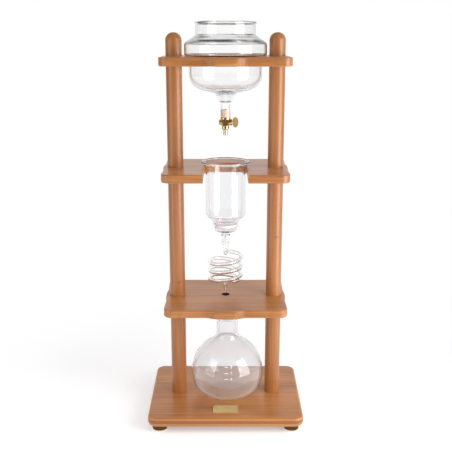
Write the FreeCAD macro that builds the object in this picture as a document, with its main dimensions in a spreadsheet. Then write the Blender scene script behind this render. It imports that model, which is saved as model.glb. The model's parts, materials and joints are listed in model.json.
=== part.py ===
import FreeCAD, Part
import math
import os
import Sketcher

# Cold drip coffee tower: a knock-down bamboo frame that holds a water vessel with a drip valve,
# a brew chamber with its filter, a cooling coil and a flask above each other on one axis.
# Millimetres. +Z is up, the tower faces -Y, and the origin lies under the axis on the table.

V = FreeCAD.Vector
Z_AXIS = V(0, 0, 1)

# The driving dimensions: alias, value, what it measures.
SIZES = (
    # base board, feet and name plate
    ("base_width", 270, "base board, left to right"),
    ("base_depth", 210, "base board, front to back"),
    ("base_thickness", 17, "base board"),
    ("base_corner", 16, "corner radius of the base board seen from above"),
    ("base_top_edge", 4, "round-over of the base board's upper edge"),
    ("base_bottom_edge", 6, "round-over of the base board's lower edge"),
    ("foot_height", 12.7, "table to base board: brass foot and washer"),
    ("foot_diameter", 26, "brass foot"),
    ("foot_rounding", 2.5, "lower edge of a foot"),
    ("foot_inset", 20, "foot centre from the edges of the base board"),
    ("foot_washer", 3, "dark washer between foot and board"),
    ("foot_pocket", 4.5, "depth of the pocket for the screw's head"),
    ("screw_diameter", 4, "wood screw's shank"),
    ("screw_head", 8, "wood screw's head"),
    ("screw_head_height", 2.8, "wood screw's head"),
    ("screw_bite", 9, "wood screw's length in the base board"),
    ("screw_play", 0.1, "radial play of the screw"),
    ("plate_width", 44, "name plate, left to right"),
    ("plate_depth", 23, "name plate, front to back"),
    ("plate_thickness", 1.8, "name plate"),
    ("plate_corner", 1, "corner radius of the name plate"),
    ("plate_inset", 21.7, "front edge of the base board to the plate"),
    # shelves
    ("shelf_width", 212, "shelf over the bulges of its sides"),
    ("shelf_depth", 173, "shelf over the bulges of its front and rear"),
    ("shelf_thickness", 14, "all three shelves"),
    ("shelf_edge", 2, "round-over of a shelf's edges"),
    ("shelf_corner", 15, "corner radius of a shelf"),
    ("lobe_front", 5, "crest of the front bulge to the corner lobe"),
    ("hollow_front", 6.3, "crest of the front bulge to the hollow beside it"),
    ("bulge_front", 17, "half width of the front bulge's crest"),
    ("flank_front", 16, "sideways run of the front bulge's flank"),
    ("curve_front", 24, "radius of the front bulge's crest and foot"),
    ("lobe_side", 0.5, "crest of the side bulge to the corner lobe"),
    ("hollow_side", 2, "crest of the side bulge to the hollow beside it"),
    ("bulge_side", 9, "half width of the side bulge's crest"),
    ("flank_side", 18, "lengthways run of the side bulge's flank"),
    ("curve_side", 40, "radius of the side bulge's crest and foot"),
    ("vessel_hole", 124, "round hole in the top shelf"),
    ("vessel_hole_edge", 0.9, "chamfer round the top of that hole"),
    ("notch_width", 73.5, "notch in the middle shelf, open to the front"),
    ("drip_hole", 14.2, "hole in the lower shelf below the coil's tip"),
    # posts and the fasteners in them
    ("flask_side_gap", 6.35, "least gap from a post to the flask, stood in the middle"),
    ("vessel_side_gap", 3.25, "least gap from a cap to the side of the water vessel"),
    ("post_diameter", 27, "posts and caps"),
    ("cap_height", 38, "top shelf to the top of a cap"),
    ("cap_flat", 1, "flat at the top of a cap's dome"),
    ("stud_diameter", 8, "studs and base bolts"),
    ("stud_play", 0.1, "radial play of a stud in a hole, post or insert"),
    ("stud_grip", 24, "stud's length in the post below a shelf"),
    ("stud_reach", 17, "length of a stud or bolt in the insert above it"),
    ("stud_chamfer", 0.8, "ends of studs and bolts"),
    ("insert_diameter", 12, "threaded insert in a post's lower end"),
    ("insert_length", 19, "threaded insert"),
    ("insert_play", 0.1, "radial play of an insert in its post"),
    ("bolt_head", 13, "base bolt's head across its flats"),
    ("bolt_head_height", 5.3, "base bolt's head"),
    ("bolt_pocket", 7.5, "depth of the pocket for a base bolt"),
    ("bolt_pocket_width", 20, "diameter of that pocket"),
    ("washer_diameter", 17, "base bolt's washer"),
    ("washer_thickness", 1.6, "base bolt's washer"),
    # free heights between the glassware and the frame, which set the posts' lengths
    ("flask_gap", 27.6, "flask's rim to the lower shelf"),
    ("drip_gap", 3.9, "coil's tip to the lower shelf's top"),
    ("valve_gap", 44.15, "brew chamber's rim to the valve's spout"),
    # water vessel
    ("vessel_wall", 2.4, "glass of the vessel"),
    ("vessel_neck", 99, "vessel's neck, outside"),
    ("vessel_height", 55, "top shelf to the top of the rim"),
    ("vessel_bead", 5, "rolled rim"),
    ("neck_foot", 33.2, "top shelf to the foot of the neck"),
    ("neck_curve", 4, "curve between neck and shoulder"),
    ("shoulder_height", 21, "top shelf to the outer end of the shoulder"),
    ("shoulder_curve", 8, "curve between shoulder and side"),
    ("seat_width", 6.6, "edge of the shelf's hole to the vessel's side"),
    ("seat_curve", 4.8, "curve between side and seat"),
    ("seat_inner_curve", 1.8, "curve between seat and bowl"),
    ("bowl_play", 1.05, "edge of the shelf's hole to the bowl"),
    ("bowl_depth", 49.2, "top shelf to the corner of the bowl's bottom"),
    ("bowl_curve", 27, "curve between the bowl's side and bottom"),
    ("funnel_diameter", 36, "bowl's bottom where the funnel starts"),
    ("funnel_depth", 60.1, "top shelf to the start of the funnel"),
    ("funnel_curve", 4, "curve at the start of the funnel"),
    ("stem_diameter", 16.6, "vessel's stem, outside"),
    ("stem_top", 77.4, "top shelf to the top of the stem"),
    ("stem_curve", 8, "curve between funnel and stem"),
    ("stem_depth", 101, "top shelf to the lower end of the stem"),
    # drip valve
    ("bung_length", 14, "silicone bung in the stem"),
    ("bung_play", 0.1, "radial play of the bung"),
    ("shank_diameter", 5, "valve's shank in the bung"),
    ("shank_length", 13, "valve's shank above its flange"),
    ("flange_width", 3, "rim of the valve's flange round the barrel"),
    ("flange_height", 2, "valve's flange"),
    ("barrel_diameter", 11, "barrel round the plug"),
    ("barrel_left", 6, "axis to the barrel's left face"),
    ("barrel_right", 7.2, "axis to the barrel's right face"),
    ("boss_diameter", 11, "round boss on the valve's front"),
    ("boss_reach", 9, "axis to the boss's face"),
    ("boss_dish", 6, "dish in the boss"),
    ("boss_dish_depth", 1.6, "depth of that dish"),
    ("collar_diameter", 11.8, "collar above the spout"),
    ("collar_height", 7, "collar"),
    ("collar_rounding", 2, "edges of the collar"),
    ("waist_diameter", 9, "waist between barrel and collar"),
    ("waist_height", 0.5, "waist, from the barrel's underside to the collar"),
    ("spout_diameter", 7.6, "drip spout"),
    ("spout_length", 9.2, "spout below the collar"),
    ("spout_wall", 2.2, "wall of the spout"),
    ("spout_rounding", 0.7, "outer edge of the spout's end"),
    ("spout_grip", 4, "spout's length inside the collar"),
    ("flow_bore", 2.4, "way through the valve"),
    ("plug_large", 8, "plug's diameter at the handle's side"),
    ("plug_small", 6.8, "plug's diameter at the nut's side"),
    ("plug_play", 0.1, "radial play of plug and spout in their bores"),
    ("plug_collar", 10.6, "collar of the plug"),
    ("plug_collar_length", 4.2, "collar of the plug"),
    ("plug_collar_rounding", 1, "outer edge of the plug's collar"),
    ("plug_tail", 4, "tail of the plug, which holds washer and nut"),
    ("tail_length", 4.4, "tail beyond the barrel"),
    ("tail_washer", 9.4, "washer on the tail"),
    ("tail_washer_thickness", 0.8, "washer on the tail"),
    ("nut_width", 9.2, "nut across its flats"),
    ("nut_length", 4.2, "nut"),
    ("nut_dome", 1.5, "rounding of the nut's outer face"),
    ("thumb_height", 17.3, "thumb piece, top to bottom"),
    ("thumb_width", 10.3, "thumb piece, left to right"),
    ("thumb_thickness", 2.8, "thumb piece, front to back"),
    ("thumb_stem", 4, "stem of the thumb piece"),
    ("thumb_grip", 2.6, "stem's length inside the plug's collar"),
    # brew chamber and filter
    ("chamber_wall", 2, "glass of the chamber"),
    ("chamber_gap", 2.4, "edge of the notch to the chamber's side"),
    ("rim_overhang", 4.5, "edge of the notch to the flare's upper end"),
    ("chamber_bead", 3.4, "rolled rim of the flare"),
    ("flare_angle", 34, "flare from the vertical, in degrees"),
    ("flare_curve", 7, "curve between flare and side"),
    ("notch_play", 0.35, "edge of the notch to the flare"),
    ("chamber_side", 83.5, "middle shelf's top to the chamber's lower shoulder"),
    ("chamber_curve", 9, "curve at the lower shoulder"),
    ("cup_diameter", 46.4, "filter cup at its top"),
    ("cup_top", 95.7, "middle shelf's top to the filter cup's top"),
    ("cup_top_curve", 3, "curve at the filter cup's top"),
    ("cup_taper", 10.9, "filter cup's side from the vertical, in degrees"),
    ("cup_bottom", 112.9, "middle shelf's top to the cup's bottom corner"),
    ("cup_curve", 8, "curve at the cup's bottom corner"),
    ("outlet_top", 116.2, "middle shelf's top to the top of the outlet"),
    ("outlet_curve", 2.4, "curve at the top of the outlet"),
    ("outlet_diameter", 9.5, "outlet tube, outside"),
    ("outlet_end", 138.2, "middle shelf's top to the end of the outlet"),
    ("filter_place", 101, "middle shelf's top to the top of the filter disc"),
    ("filter_diameter", 35, "porous disc"),
    ("filter_thickness", 3.6, "porous disc"),
    ("gasket_lip", 1.2, "gasket above and below the disc"),
    ("gasket_overlap", 1.6, "gasket's hold on the disc's edge"),
    ("gasket_play", 0.3, "gasket to the cup, and disc to gasket"),
    # cooling coil
    ("tube_diameter", 7, "coil's tube, outside"),
    ("tube_wall", 1.1, "glass of the tube"),
    ("coil_radius", 27.9, "tower's axis to the middle of the tube"),
    ("coil_pitch", 15.2, "drop of one turn"),
    ("half_turns", 5, "half turns between lead-in and tail"),
    ("lead_drop", 5.7, "drop of the lead-in"),
    ("tail_drop", 2.1, "drop of the tail's half turn"),
    ("tail_height", 23.7, "end of the last quarter turn to the tip"),
    ("bend_radius", 7.5, "bends on the axis above and below the coil"),
    ("tip_length", 7.8, "drawn tip"),
    ("tip_diameter", 3.6, "end of the tip, outside"),
    ("tip_bore", 1.8, "end of the tip, inside"),
    ("socket_wall", 1.3, "glass of the socket"),
    ("socket_height", 13.4, "straight part of the socket"),
    ("socket_cone", 13.7, "cone between socket and tube"),
    ("sleeve_wall", 1.3, "silicone sleeve between outlet and socket"),
    ("sleeve_play", 0.15, "radial play of the sleeve on both sides"),
    ("sleeve_lip", 1.2, "sleeve's lip on the socket's rim"),
    ("outlet_grip", 16.4, "outlet's length below the socket's rim"),
    # flask
    ("flask_wall", 2.2, "glass of the flask"),
    ("flask_diameter", 131, "ball of the flask"),
    ("flask_base_cut", 22.7, "how much the flat bottom takes off the ball's height"),
    ("flask_foot_turn", 14, "end of the ball below its middle, in degrees"),
    ("flask_foot_share", 0.46, "curve between ball and flat bottom, as a share of the ball's radius"),
    ("flask_neck_turn", 57, "end of the ball above its middle, in degrees"),
    ("flask_neck_curve", 18, "curve between ball and neck"),
    ("flask_neck", 38.4, "flask's neck, outside"),
    ("flask_height", 147.4, "flask over all"),
    ("flask_bead", 4, "rolled rim"),
    ("flask_offset", 3, "flask's axis to the right of the tower's"),
)


# ---------------------------------------------------------------- sizes and the spreadsheet


class Size:
    """A number in millimetres or degrees, with the spreadsheet formula that gives it."""

    def __init__(self, value, formula):
        self.value = value
        self.formula = formula

    def joined(self, sign, other, value):
        return Size(value, f"({self.formula} {sign} {as_size(other).formula})")

    def __add__(self, other):
        return self.joined("+", other, self.value + as_size(other).value)

    def __sub__(self, other):
        return self.joined("-", other, self.value - as_size(other).value)

    def __mul__(self, other):
        return self.joined("*", other, self.value * as_size(other).value)

    def __truediv__(self, other):
        return self.joined("/", other, self.value / as_size(other).value)

    def __neg__(self):
        return Size(-self.value, f"(-1 * {self.formula})")


def as_size(number):
    return number if isinstance(number, Size) else Size(float(number), repr(float(number)))


def sine(angle):
    return Size(math.sin(math.radians(angle.value)), f"sin({angle.formula} * 1 deg)")


def cosine(angle):
    return Size(math.cos(math.radians(angle.value)), f"cos({angle.formula} * 1 deg)")


def larger(one, other):
    return Size(max(one.value, other.value), f"max({one.formula}; {other.formula})")


class Sheet:
    """The spreadsheet of driving dimensions: sheet.post_diameter is the Size of that alias."""

    def __init__(self, document):
        self.table = document.addObject("Spreadsheet::Sheet", "sizes")
        for row, (alias, value, note) in enumerate(SIZES, start=1):
            self.table.set(f"A{row}", note)
            self.table.set(f"B{row}", str(value))
            self.table.setAlias(f"B{row}", alias)
        document.recompute()

    def __getattr__(self, alias):
        return Size(float(self.table.get(alias)), f"sizes.{alias}")


doc = FreeCAD.newDocument("cold_drip_tower")
mm = Sheet(doc)
nodes = []


def bind(thing, name, size):
    thing.setExpression(name, as_size(size).formula)


# ---------------------------------------------------------------- sketches


def origin_plane(body, role):
    return next(plane for plane in body.Origin.OriginFeatures if plane.Role == role)


def new_sketch(body, role, name, offset=None):
    """A sketch on one of the body's own planes, or set off from it along its normal."""
    sketch = body.newObject("Sketcher::SketchObject", name)
    sketch.AttachmentSupport = [(origin_plane(body, role), "")]
    sketch.MapMode = "FlatFace"
    if offset is not None:
        bind(sketch, "AttachmentOffset.Base.z", offset)
        doc.recompute()
    return sketch


def flat(corner):
    return V(as_size(corner[0]).value, as_size(corner[1]).value, 0)


def round_corner(before, corner, after, radius):
    """Start, middle and end of the arc that rounds a corner."""
    back = (before - corner).normalize()
    onward = (after - corner).normalize()
    half_angle = back.getAngle(onward) / 2
    centre = corner + (back + onward).normalize() * (radius / math.sin(half_angle))
    reach = radius / math.tan(half_angle)
    middle = centre + (corner - centre).normalize() * radius
    return corner + back * reach, middle, corner + onward * reach


class Drawing:
    """Collects a sketch's lines, arcs and constraints, then binds the dimensions."""

    # A sketch's own numbers for the points of a line or arc, its origin and its axes.
    START, END, CENTRE = range(1, 4)
    ORIGIN = (-1, START)
    X_LINE, Y_LINE = -1, -2

    def __init__(self, sketch):
        self.sketch = sketch
        self.rules = []
        self.bound = []

    def rule(self, kind, *where):
        self.rules.append(Sketcher.Constraint(kind, *where))

    def dimension(self, kind, where, size):
        self.bound.append((len(self.rules), as_size(size)))
        self.rule(kind, *where, as_size(size).value)

    def line(self, start, end):
        return self.sketch.addGeometry(Part.LineSegment(start, end), False)

    def arc(self, start, middle, end):
        return self.sketch.addGeometry(Part.Arc(start, middle, end), False)

    def arc_end_at(self, arc, point):
        """Which end of the arc lies at the point: a sketch stores each arc anticlockwise."""
        to_start = (self.sketch.getPoint(arc, self.START) - point).Length
        to_end = (self.sketch.getPoint(arc, self.END) - point).Length
        return self.START if to_start < to_end else self.END

    def join_arc(self, arc, line_in, line_out, first_point, end_in=END, end_out=START):
        """Makes an arc that starts at a point run smoothly into two lines."""
        entry = self.arc_end_at(arc, first_point)
        leaving = self.END if entry == self.START else self.START
        self.rule("Tangent", line_in, end_in, arc, entry)
        self.rule("Tangent", line_out, end_out, arc, leaving)

    def fix(self, geometry, end, x, y):
        """Holds a point at (x, y) from the origin."""
        for kind, zero_line, size in (
                ("DistanceX", self.Y_LINE, as_size(x)), ("DistanceY", self.X_LINE, as_size(y))):
            if abs(size.value) < 1e-9:
                self.rule("PointOnObject", geometry, end, zero_line)
            elif size.value > 0:
                self.dimension(kind, (*self.ORIGIN, geometry, end), size)
            else:
                self.dimension(kind, (geometry, end, *self.ORIGIN), -size)

    def round_between(self, before, bend, after, radius, corner=None):
        """An arc between two lines, and a construction point on both where they would meet."""
        arc = self.arc(*bend)
        self.join_arc(arc, before, after, bend[0])
        if corner is not None:
            self.dimension("Radius", (arc,), radius)
            point = self.sketch.addGeometry(Part.Point(flat(corner)), True)
            self.fix(point, self.START, corner[0], corner[1])
            self.rule("PointOnObject", point, self.START, before)
            self.rule("PointOnObject", point, self.START, after)
        return arc

    def finish(self):
        already_there = len(self.sketch.Constraints)
        self.sketch.addConstraint(self.rules)
        for index, size in self.bound:
            bind(self.sketch, f"Constraints[{already_there + index}]", size)


def draw_outline(sketch, corners):
    """A closed outline through corners (x, y) or (x, y, rounding)."""
    drawing = Drawing(sketch)
    places = [flat(corner) for corner in corners]
    bends = []
    for i, corner in enumerate(corners):
        rounded = len(corner) > 2
        after = places[(i + 1) % len(corners)]
        bends.append(round_corner(places[i - 1], places[i], after, as_size(corner[2]).value)
                     if rounded else (places[i], None, places[i]))
    ways = zip(bends, bends[1:] + bends[:1])
    sides = [drawing.line(this[2], following[0]) for this, following in ways]
    for i, corner in enumerate(corners):
        if len(corner) > 2:
            drawing.round_between(sides[i - 1], bends[i], sides[i], corner[2], corner)
        else:
            drawing.rule("Coincident", sides[i - 1], drawing.END, sides[i], drawing.START)
            drawing.fix(sides[i], drawing.START, corner[0], corner[1])
    drawing.finish()


def draw_circle(sketch, x, y, diameter):
    drawing = Drawing(sketch)
    radius = as_size(diameter) / 2
    circle = sketch.addGeometry(Part.Circle(flat((x, y)), Z_AXIS, radius.value), False)
    drawing.dimension("Radius", (circle,), radius)
    drawing.fix(circle, Drawing.CENTRE, x, y)
    drawing.finish()


def inner_corners(outer, wall):
    """Where the corners of the wall's inner face lie, to the right of the way down its outside."""
    ways = [(b - a).normalize() for a, b in zip(outer, outer[1:])]
    rights = [V(way.y, -way.x, 0) for way in ways]
    inner = [outer[0] + rights[0] * wall]
    for corner, before, after in zip(outer[1:], rights, rights[1:]):
        middle = (before + after).normalize()
        inner.append(corner + middle * (wall / middle.dot(after)))
    inner.append(outer[-1] + rights[-1] * wall)
    return inner


def draw_wall(sketch, corners, wall):
    """Half the section of blown glass: one thickness everywhere, a round lip, and an end that is
    cut square or runs into the axis. Corners (x, y[, rounding]) lead down the outside."""
    drawing = Drawing(sketch)
    thickness = wall.value
    outer = [flat(corner) for corner in corners]
    inner = inner_corners(outer, thickness)
    ways = [(b - a).normalize() for a, b in zip(outer, outer[1:])]
    turns = [math.copysign(1, a.cross(b).z) for a, b in zip(ways, ways[1:])]
    closed = abs(outer[-1].x) < 1e-9
    faces = []
    for places, inside in ((outer, False), (inner, True)):
        bends = [(places[0], None, places[0])]
        for i, turn in enumerate(turns, start=1):
            radius = corners[i][2].value + (turn * thickness if inside else 0)
            bends.append(round_corner(places[i - 1], places[i], places[i + 1], radius))
        bends.append((places[-1], None, places[-1]))
        lines = [drawing.line(a[2], b[0]) for a, b in zip(bends, bends[1:])]
        arcs = [
            drawing.round_between(lines[i - 1], bends[i], lines[i], corners[i][2],
                                  None if inside else corners[i])
            for i in range(1, len(corners) - 1)
        ]
        faces.append((lines, arcs))
    (outer_lines, outer_arcs), (inner_lines, inner_arcs) = faces
    start, end, centre = drawing.START, drawing.END, drawing.CENTRE
    drawing.fix(outer_lines[0], start, corners[0][0], corners[0][1])
    drawing.fix(outer_lines[-1], end, corners[-1][0], corners[-1][1])
    for outer_arc, inner_arc in zip(outer_arcs, inner_arcs):
        drawing.rule("Coincident", inner_arc, centre, outer_arc, centre)
    for outer_line, inner_line in zip(outer_lines, inner_lines):
        drawing.rule("Parallel", outer_line, inner_line)
    drawing.dimension("Distance", (inner_lines[0], start, outer_lines[0]), wall)
    lip_top = (outer[0] + inner[0]) / 2 - ways[0] * (thickness / 2)
    lip = drawing.arc(outer[0], lip_top, inner[0])
    drawing.join_arc(lip, outer_lines[0], inner_lines[0], outer[0], end_in=start)
    closing = drawing.line(outer[-1], inner[-1])
    drawing.rule("Coincident", outer_lines[-1], end, closing, start)
    drawing.rule("Coincident", inner_lines[-1], end, closing, end)
    if closed:
        drawing.rule("PointOnObject", closing, end, drawing.Y_LINE)
    else:
        drawing.rule("Perpendicular", outer_lines[-1], closing)
    drawing.finish()


# ---------------------------------------------------------------- bodies and their features


def keep(thing, label):
    """Marks a finished sub-part: its label is the name of its node and file."""
    thing.Label = label
    nodes.append(thing)
    return thing


def new_body(name):
    return doc.addObject("PartDesign::Body", f"{name}_body")


def place(thing, x=0, y=0, z=0):
    for axis, size in (("x", x), ("y", y), ("z", z)):
        bind(thing, f"Placement.Base.{axis}", size)


def spin(body, sketch, axis="V_Axis"):
    """Adds a sketch turned about the sketch's own upright or level axis."""
    return turn(body, sketch, "PartDesign::Revolution", axis)


def groove(body, sketch, axis="V_Axis"):
    """Cuts a sketch turned about the sketch's own upright or level axis."""
    before = body.Shape.Volume
    feature = turn(body, sketch, "PartDesign::Groove", axis)
    check_cut(body, feature, before)
    return feature


def turn(body, sketch, kind, axis):
    feature = body.newObject(kind, f"{sketch.Name}_turned")
    feature.Profile = sketch
    feature.ReferenceAxis = (sketch, [axis])
    feature.Angle = 360
    doc.recompute()
    return feature


def pad(body, sketch, length):
    """Raises a sketch along its normal."""
    feature = body.newObject("PartDesign::Pad", f"{sketch.Name}_pad")
    feature.Profile = sketch
    bind(feature, "Length", length)
    doc.recompute()
    return feature


def pocket(body, sketch, depth=None):
    """Cuts a sketch along its normal, right through where no depth is given."""
    before = body.Shape.Volume
    feature = body.newObject("PartDesign::Pocket", f"{sketch.Name}_cut")
    feature.Profile = sketch
    feature.Reversed = True
    if depth is None:
        feature.Type = "ThroughAll"
    else:
        bind(feature, "Length", depth)
    doc.recompute()
    check_cut(body, feature, before)
    return feature


def check_cut(body, feature, volume_before):
    if body.Shape.Volume > volume_before - 1e-3:
        raise ValueError(f"{feature.Name} cuts nothing")


def level_face(shape, side):
    """The name of a slab's flat face whose normal points up (side 1) or down (side -1)."""
    for number, face in enumerate(shape.Faces, start=1):
        if face.Surface.TypeId == "Part::GeomPlane" and face.normalAt(0, 0).z * side > 0.99:
            return f"Face{number}"
    raise ValueError("the slab has no such face")


def round_over(body, slab, side, radius):
    """Rounds the edges of a slab's upper or lower face."""
    feature = body.newObject("PartDesign::Fillet", f"{slab.Name}_edge")
    feature.Base = (slab, [level_face(slab.Shape, side)])
    bind(feature, "Radius", radius)
    doc.recompute()
    return feature


def hole(body, name, x, y, diameter, depth=None):
    """A round hole from the body's underside."""
    sketch = new_sketch(body, "XY_Plane", name)
    draw_circle(sketch, x, y, diameter)
    pocket(body, sketch, depth)


def turned(name, corners, x=0, y=0, z=0):
    """A body turned about the vertical from corners (radius, height[, rounding])."""
    body = new_body(name)
    sketch = new_sketch(body, "XZ_Plane", f"{name}_section")
    draw_outline(sketch, corners)
    spin(body, sketch)
    place(body, x, y, z)
    return body


def ring(name, outside, inside, height, **where):
    outer, inner = as_size(outside) / 2, as_size(inside) / 2
    corners = ((inner, 0), (outer, 0), (outer, height), (inner, height))
    return turned(name, corners, **where)


def blown(name, corners, wall, bead, bead_centre):
    """Blown glass: a wall turned about the vertical, with a rolled rim."""
    body = new_body(name)
    section = new_sketch(body, "XZ_Plane", f"{name}_section")
    draw_wall(section, corners, wall)
    spin(body, section)
    rim = new_sketch(body, "XZ_Plane", f"{name}_rim")
    draw_circle(rim, *bead_centre, bead)
    spin(body, rim)
    return body


def group(name, pieces):
    """Identical pieces that share one node, each still a solid of its own."""
    compound = doc.addObject("Part::Compound", name)
    compound.Links = pieces
    return keep(compound, name)


# ---------------------------------------------------------------- shared heights and places

COIL_HEIGHT = (mm.socket_height + mm.socket_cone + mm.bend_radius + mm.lead_drop
               + mm.coil_pitch * (mm.half_turns / 2 + 0.25) + mm.tail_height)
SPOUT_DROP = (mm.flange_height + mm.barrel_diameter + mm.collar_height + mm.spout_length)
NOTCH_RADIUS = mm.notch_width / 2
# The flare touches the notch's upper edge; its line rises this much per millimetre outwards.
FLARE_RISE = cosine(mm.flare_angle) / sine(mm.flare_angle)
FLARE_TOP = (mm.rim_overhang + mm.notch_play) * FLARE_RISE
RIM_HEIGHT = FLARE_TOP + sine(mm.flare_angle) * mm.chamber_wall / 2 + mm.chamber_bead / 2

BASE_TOP = mm.foot_height + mm.base_thickness
LOWER_POST = mm.flask_height + mm.flask_gap
LOWER_SHELF = BASE_TOP + LOWER_POST
LOWER_SHELF_TOP = LOWER_SHELF + mm.shelf_thickness
MIDDLE_POST = mm.drip_gap + COIL_HEIGHT - mm.outlet_grip + mm.outlet_end - mm.shelf_thickness
MIDDLE_SHELF = LOWER_SHELF_TOP + MIDDLE_POST
MIDDLE_SHELF_TOP = MIDDLE_SHELF + mm.shelf_thickness
UPPER_POST = RIM_HEIGHT + mm.valve_gap + SPOUT_DROP + mm.stem_depth - mm.shelf_thickness
TOP_SHELF = MIDDLE_SHELF_TOP + UPPER_POST
TOP_SHELF_TOP = TOP_SHELF + mm.shelf_thickness

STEM_END = TOP_SHELF_TOP - mm.stem_depth
PLUG_HEIGHT = STEM_END - mm.flange_height - mm.barrel_diameter / 2
OUTLET_END = MIDDLE_SHELF_TOP - mm.outlet_end
SOCKET_RIM = OUTLET_END + mm.outlet_grip

# The posts stand clear of the flask and of the water vessel, whichever is the wider.
VESSEL_SIDE = mm.vessel_hole / 2 + mm.seat_width
POST_SPACING = mm.post_diameter + larger(
    mm.flask_diameter + mm.flask_side_gap * 2, (VESSEL_SIDE + mm.vessel_side_gap) * 2)
FLASK_CENTRE = mm.flask_diameter / 2 - mm.flask_base_cut

SIDES = (("left", -POST_SPACING / 2), ("right", POST_SPACING / 2))
FOOT_PLACES = [
    (f"{row}_{side}", x, y)
    for row, y in (("front", -(mm.base_depth / 2 - mm.foot_inset)),
                   ("rear", mm.base_depth / 2 - mm.foot_inset))
    for side, x in (("left", -(mm.base_width / 2 - mm.foot_inset)),
                    ("right", mm.base_width / 2 - mm.foot_inset))
]
STUD_HOLE = mm.stud_diameter + mm.stud_play * 2
SCREW_HOLE = mm.screw_diameter + mm.screw_play * 2

# ---------------------------------------------------------------- base board and feet


def rounded_rectangle(width, depth, corner):
    x, y = width / 2, depth / 2
    return (-x, -y, corner), (x, -y, corner), (x, y, corner), (-x, y, corner)


def build_base_board():
    body = new_body("base_board")
    outline = new_sketch(body, "XY_Plane", "base_outline")
    draw_outline(outline, rounded_rectangle(mm.base_width, mm.base_depth, mm.base_corner))
    slab = pad(body, outline, mm.base_thickness)
    slab = round_over(body, slab, 1, mm.base_top_edge)
    round_over(body, slab, -1, mm.base_bottom_edge)
    for side, x in SIDES:
        hole(body, f"base_bolt_hole_{side}", x, 0, STUD_HOLE)
        hole(body, f"base_bolt_pocket_{side}", x, 0, mm.bolt_pocket_width, mm.bolt_pocket)
    for corner, x, y in FOOT_PLACES:
        hole(body, f"screw_hole_{corner}", x, y, SCREW_HOLE, mm.screw_bite)
    place(body, z=mm.foot_height)
    keep(body, "base_board")


def build_feet():
    height = mm.foot_height - mm.foot_washer
    bore, radius = SCREW_HOLE / 2, mm.foot_diameter / 2
    head = mm.screw_head / 2
    well = head + mm.screw_play
    foot = ((well, 0), (radius, 0, mm.foot_rounding), (radius, height), (bore, height),
            (bore, mm.foot_pocket), (well, mm.foot_pocket))
    shank = mm.screw_diameter / 2
    under_head = mm.screw_head_height
    tip = under_head + mm.foot_height - mm.foot_pocket + mm.screw_bite
    screw = ((0, 0), (head, 0), (head, under_head), (shank, under_head),
             (shank, tip - mm.screw_diameter), (0, tip))
    washers, screws = [], []
    for corner, x, y in FOOT_PLACES:
        keep(turned(f"foot_{corner}", foot, x, y), f"foot_{corner}")
        washers.append(ring(f"foot_washer_{corner}", mm.foot_diameter, SCREW_HOLE,
                            mm.foot_washer, x=x, y=y, z=height))
        screws.append(turned(f"foot_screw_{corner}", screw, x, y, mm.foot_pocket - under_head))
    group("foot_washers", washers)
    group("foot_screws", screws)


def build_name_plate():
    body = new_body("name_plate")
    outline = new_sketch(body, "XY_Plane", "plate_outline")
    draw_outline(outline, rounded_rectangle(mm.plate_width, mm.plate_depth, mm.plate_corner))
    pad(body, outline, mm.plate_thickness)
    place(body, y=-(mm.base_depth / 2 - mm.plate_inset - mm.plate_depth / 2), z=BASE_TOP)
    keep(body, "name_plate")


# ---------------------------------------------------------------- shelves


def shelf_corners():
    """The shelf's outline, anticlockwise: each side swells in its middle, dips beside the bulge
    and ends in a round corner lobe. A quarter is given, and the others mirror it."""
    x, y = mm.shelf_width / 2, mm.shelf_depth / 2
    quarter = (
        (x, mm.bulge_side, mm.curve_side),
        (x - mm.hollow_side, mm.bulge_side + mm.flank_side, mm.curve_side),
        (x - mm.lobe_side, y - mm.lobe_front, mm.shelf_corner),
        (mm.bulge_front + mm.flank_front, y - mm.hollow_front, mm.curve_front),
        (mm.bulge_front, y, mm.curve_front),
    )
    rear_right = list(quarter)
    rear_left = [(-px, py, curve) for px, py, curve in reversed(quarter)]
    front_left = [(-px, -py, curve) for px, py, curve in quarter]
    front_right = [(px, -py, curve) for px, py, curve in reversed(quarter)]
    return rear_right + rear_left + front_left + front_right


def shelf(name, height):
    body = new_body(name)
    outline = new_sketch(body, "XY_Plane", f"{name}_outline")
    draw_outline(outline, shelf_corners())
    slab = pad(body, outline, mm.shelf_thickness)
    slab = round_over(body, slab, 1, mm.shelf_edge)
    round_over(body, slab, -1, mm.shelf_edge)
    for side, x in SIDES:
        hole(body, f"{name}_stud_hole_{side}", x, 0, STUD_HOLE)
    place(body, z=height)
    return keep(body, name)


def build_shelves():
    lower = shelf("lower_shelf", LOWER_SHELF)
    hole(lower, "drip_hole", 0, 0, mm.drip_hole)
    middle = shelf("middle_shelf", MIDDLE_SHELF)
    hole(middle, "notch_end", 0, 0, mm.notch_width)
    way_out = new_sketch(middle, "XY_Plane", "notch_way_out")
    front = -mm.shelf_depth
    draw_outline(way_out, (
        (-NOTCH_RADIUS, 0), (-NOTCH_RADIUS, front), (NOTCH_RADIUS, front), (NOTCH_RADIUS, 0)))
    pocket(middle, way_out)
    top = shelf("top_shelf", TOP_SHELF)
    seat = new_sketch(top, "XZ_Plane", "vessel_seat")
    radius, edge, upper = mm.vessel_hole / 2, mm.vessel_hole_edge, mm.shelf_thickness
    draw_outline(seat, (
        (0, 0), (radius, 0), (radius, upper - edge), (radius + edge, upper), (0, upper)))
    groove(top, seat)


# ---------------------------------------------------------------- posts and fasteners


def post_corners(length):
    """A post with the insert's bore in its lower end and the stud's bore in its upper end."""
    radius, stud = mm.post_diameter / 2, STUD_HOLE / 2
    insert = mm.insert_diameter / 2 + mm.insert_play
    return ((insert, 0), (radius, 0), (radius, length), (stud, length),
            (stud, length - mm.stud_grip), (0, length - mm.stud_grip),
            (0, mm.insert_length), (insert, mm.insert_length))


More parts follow.
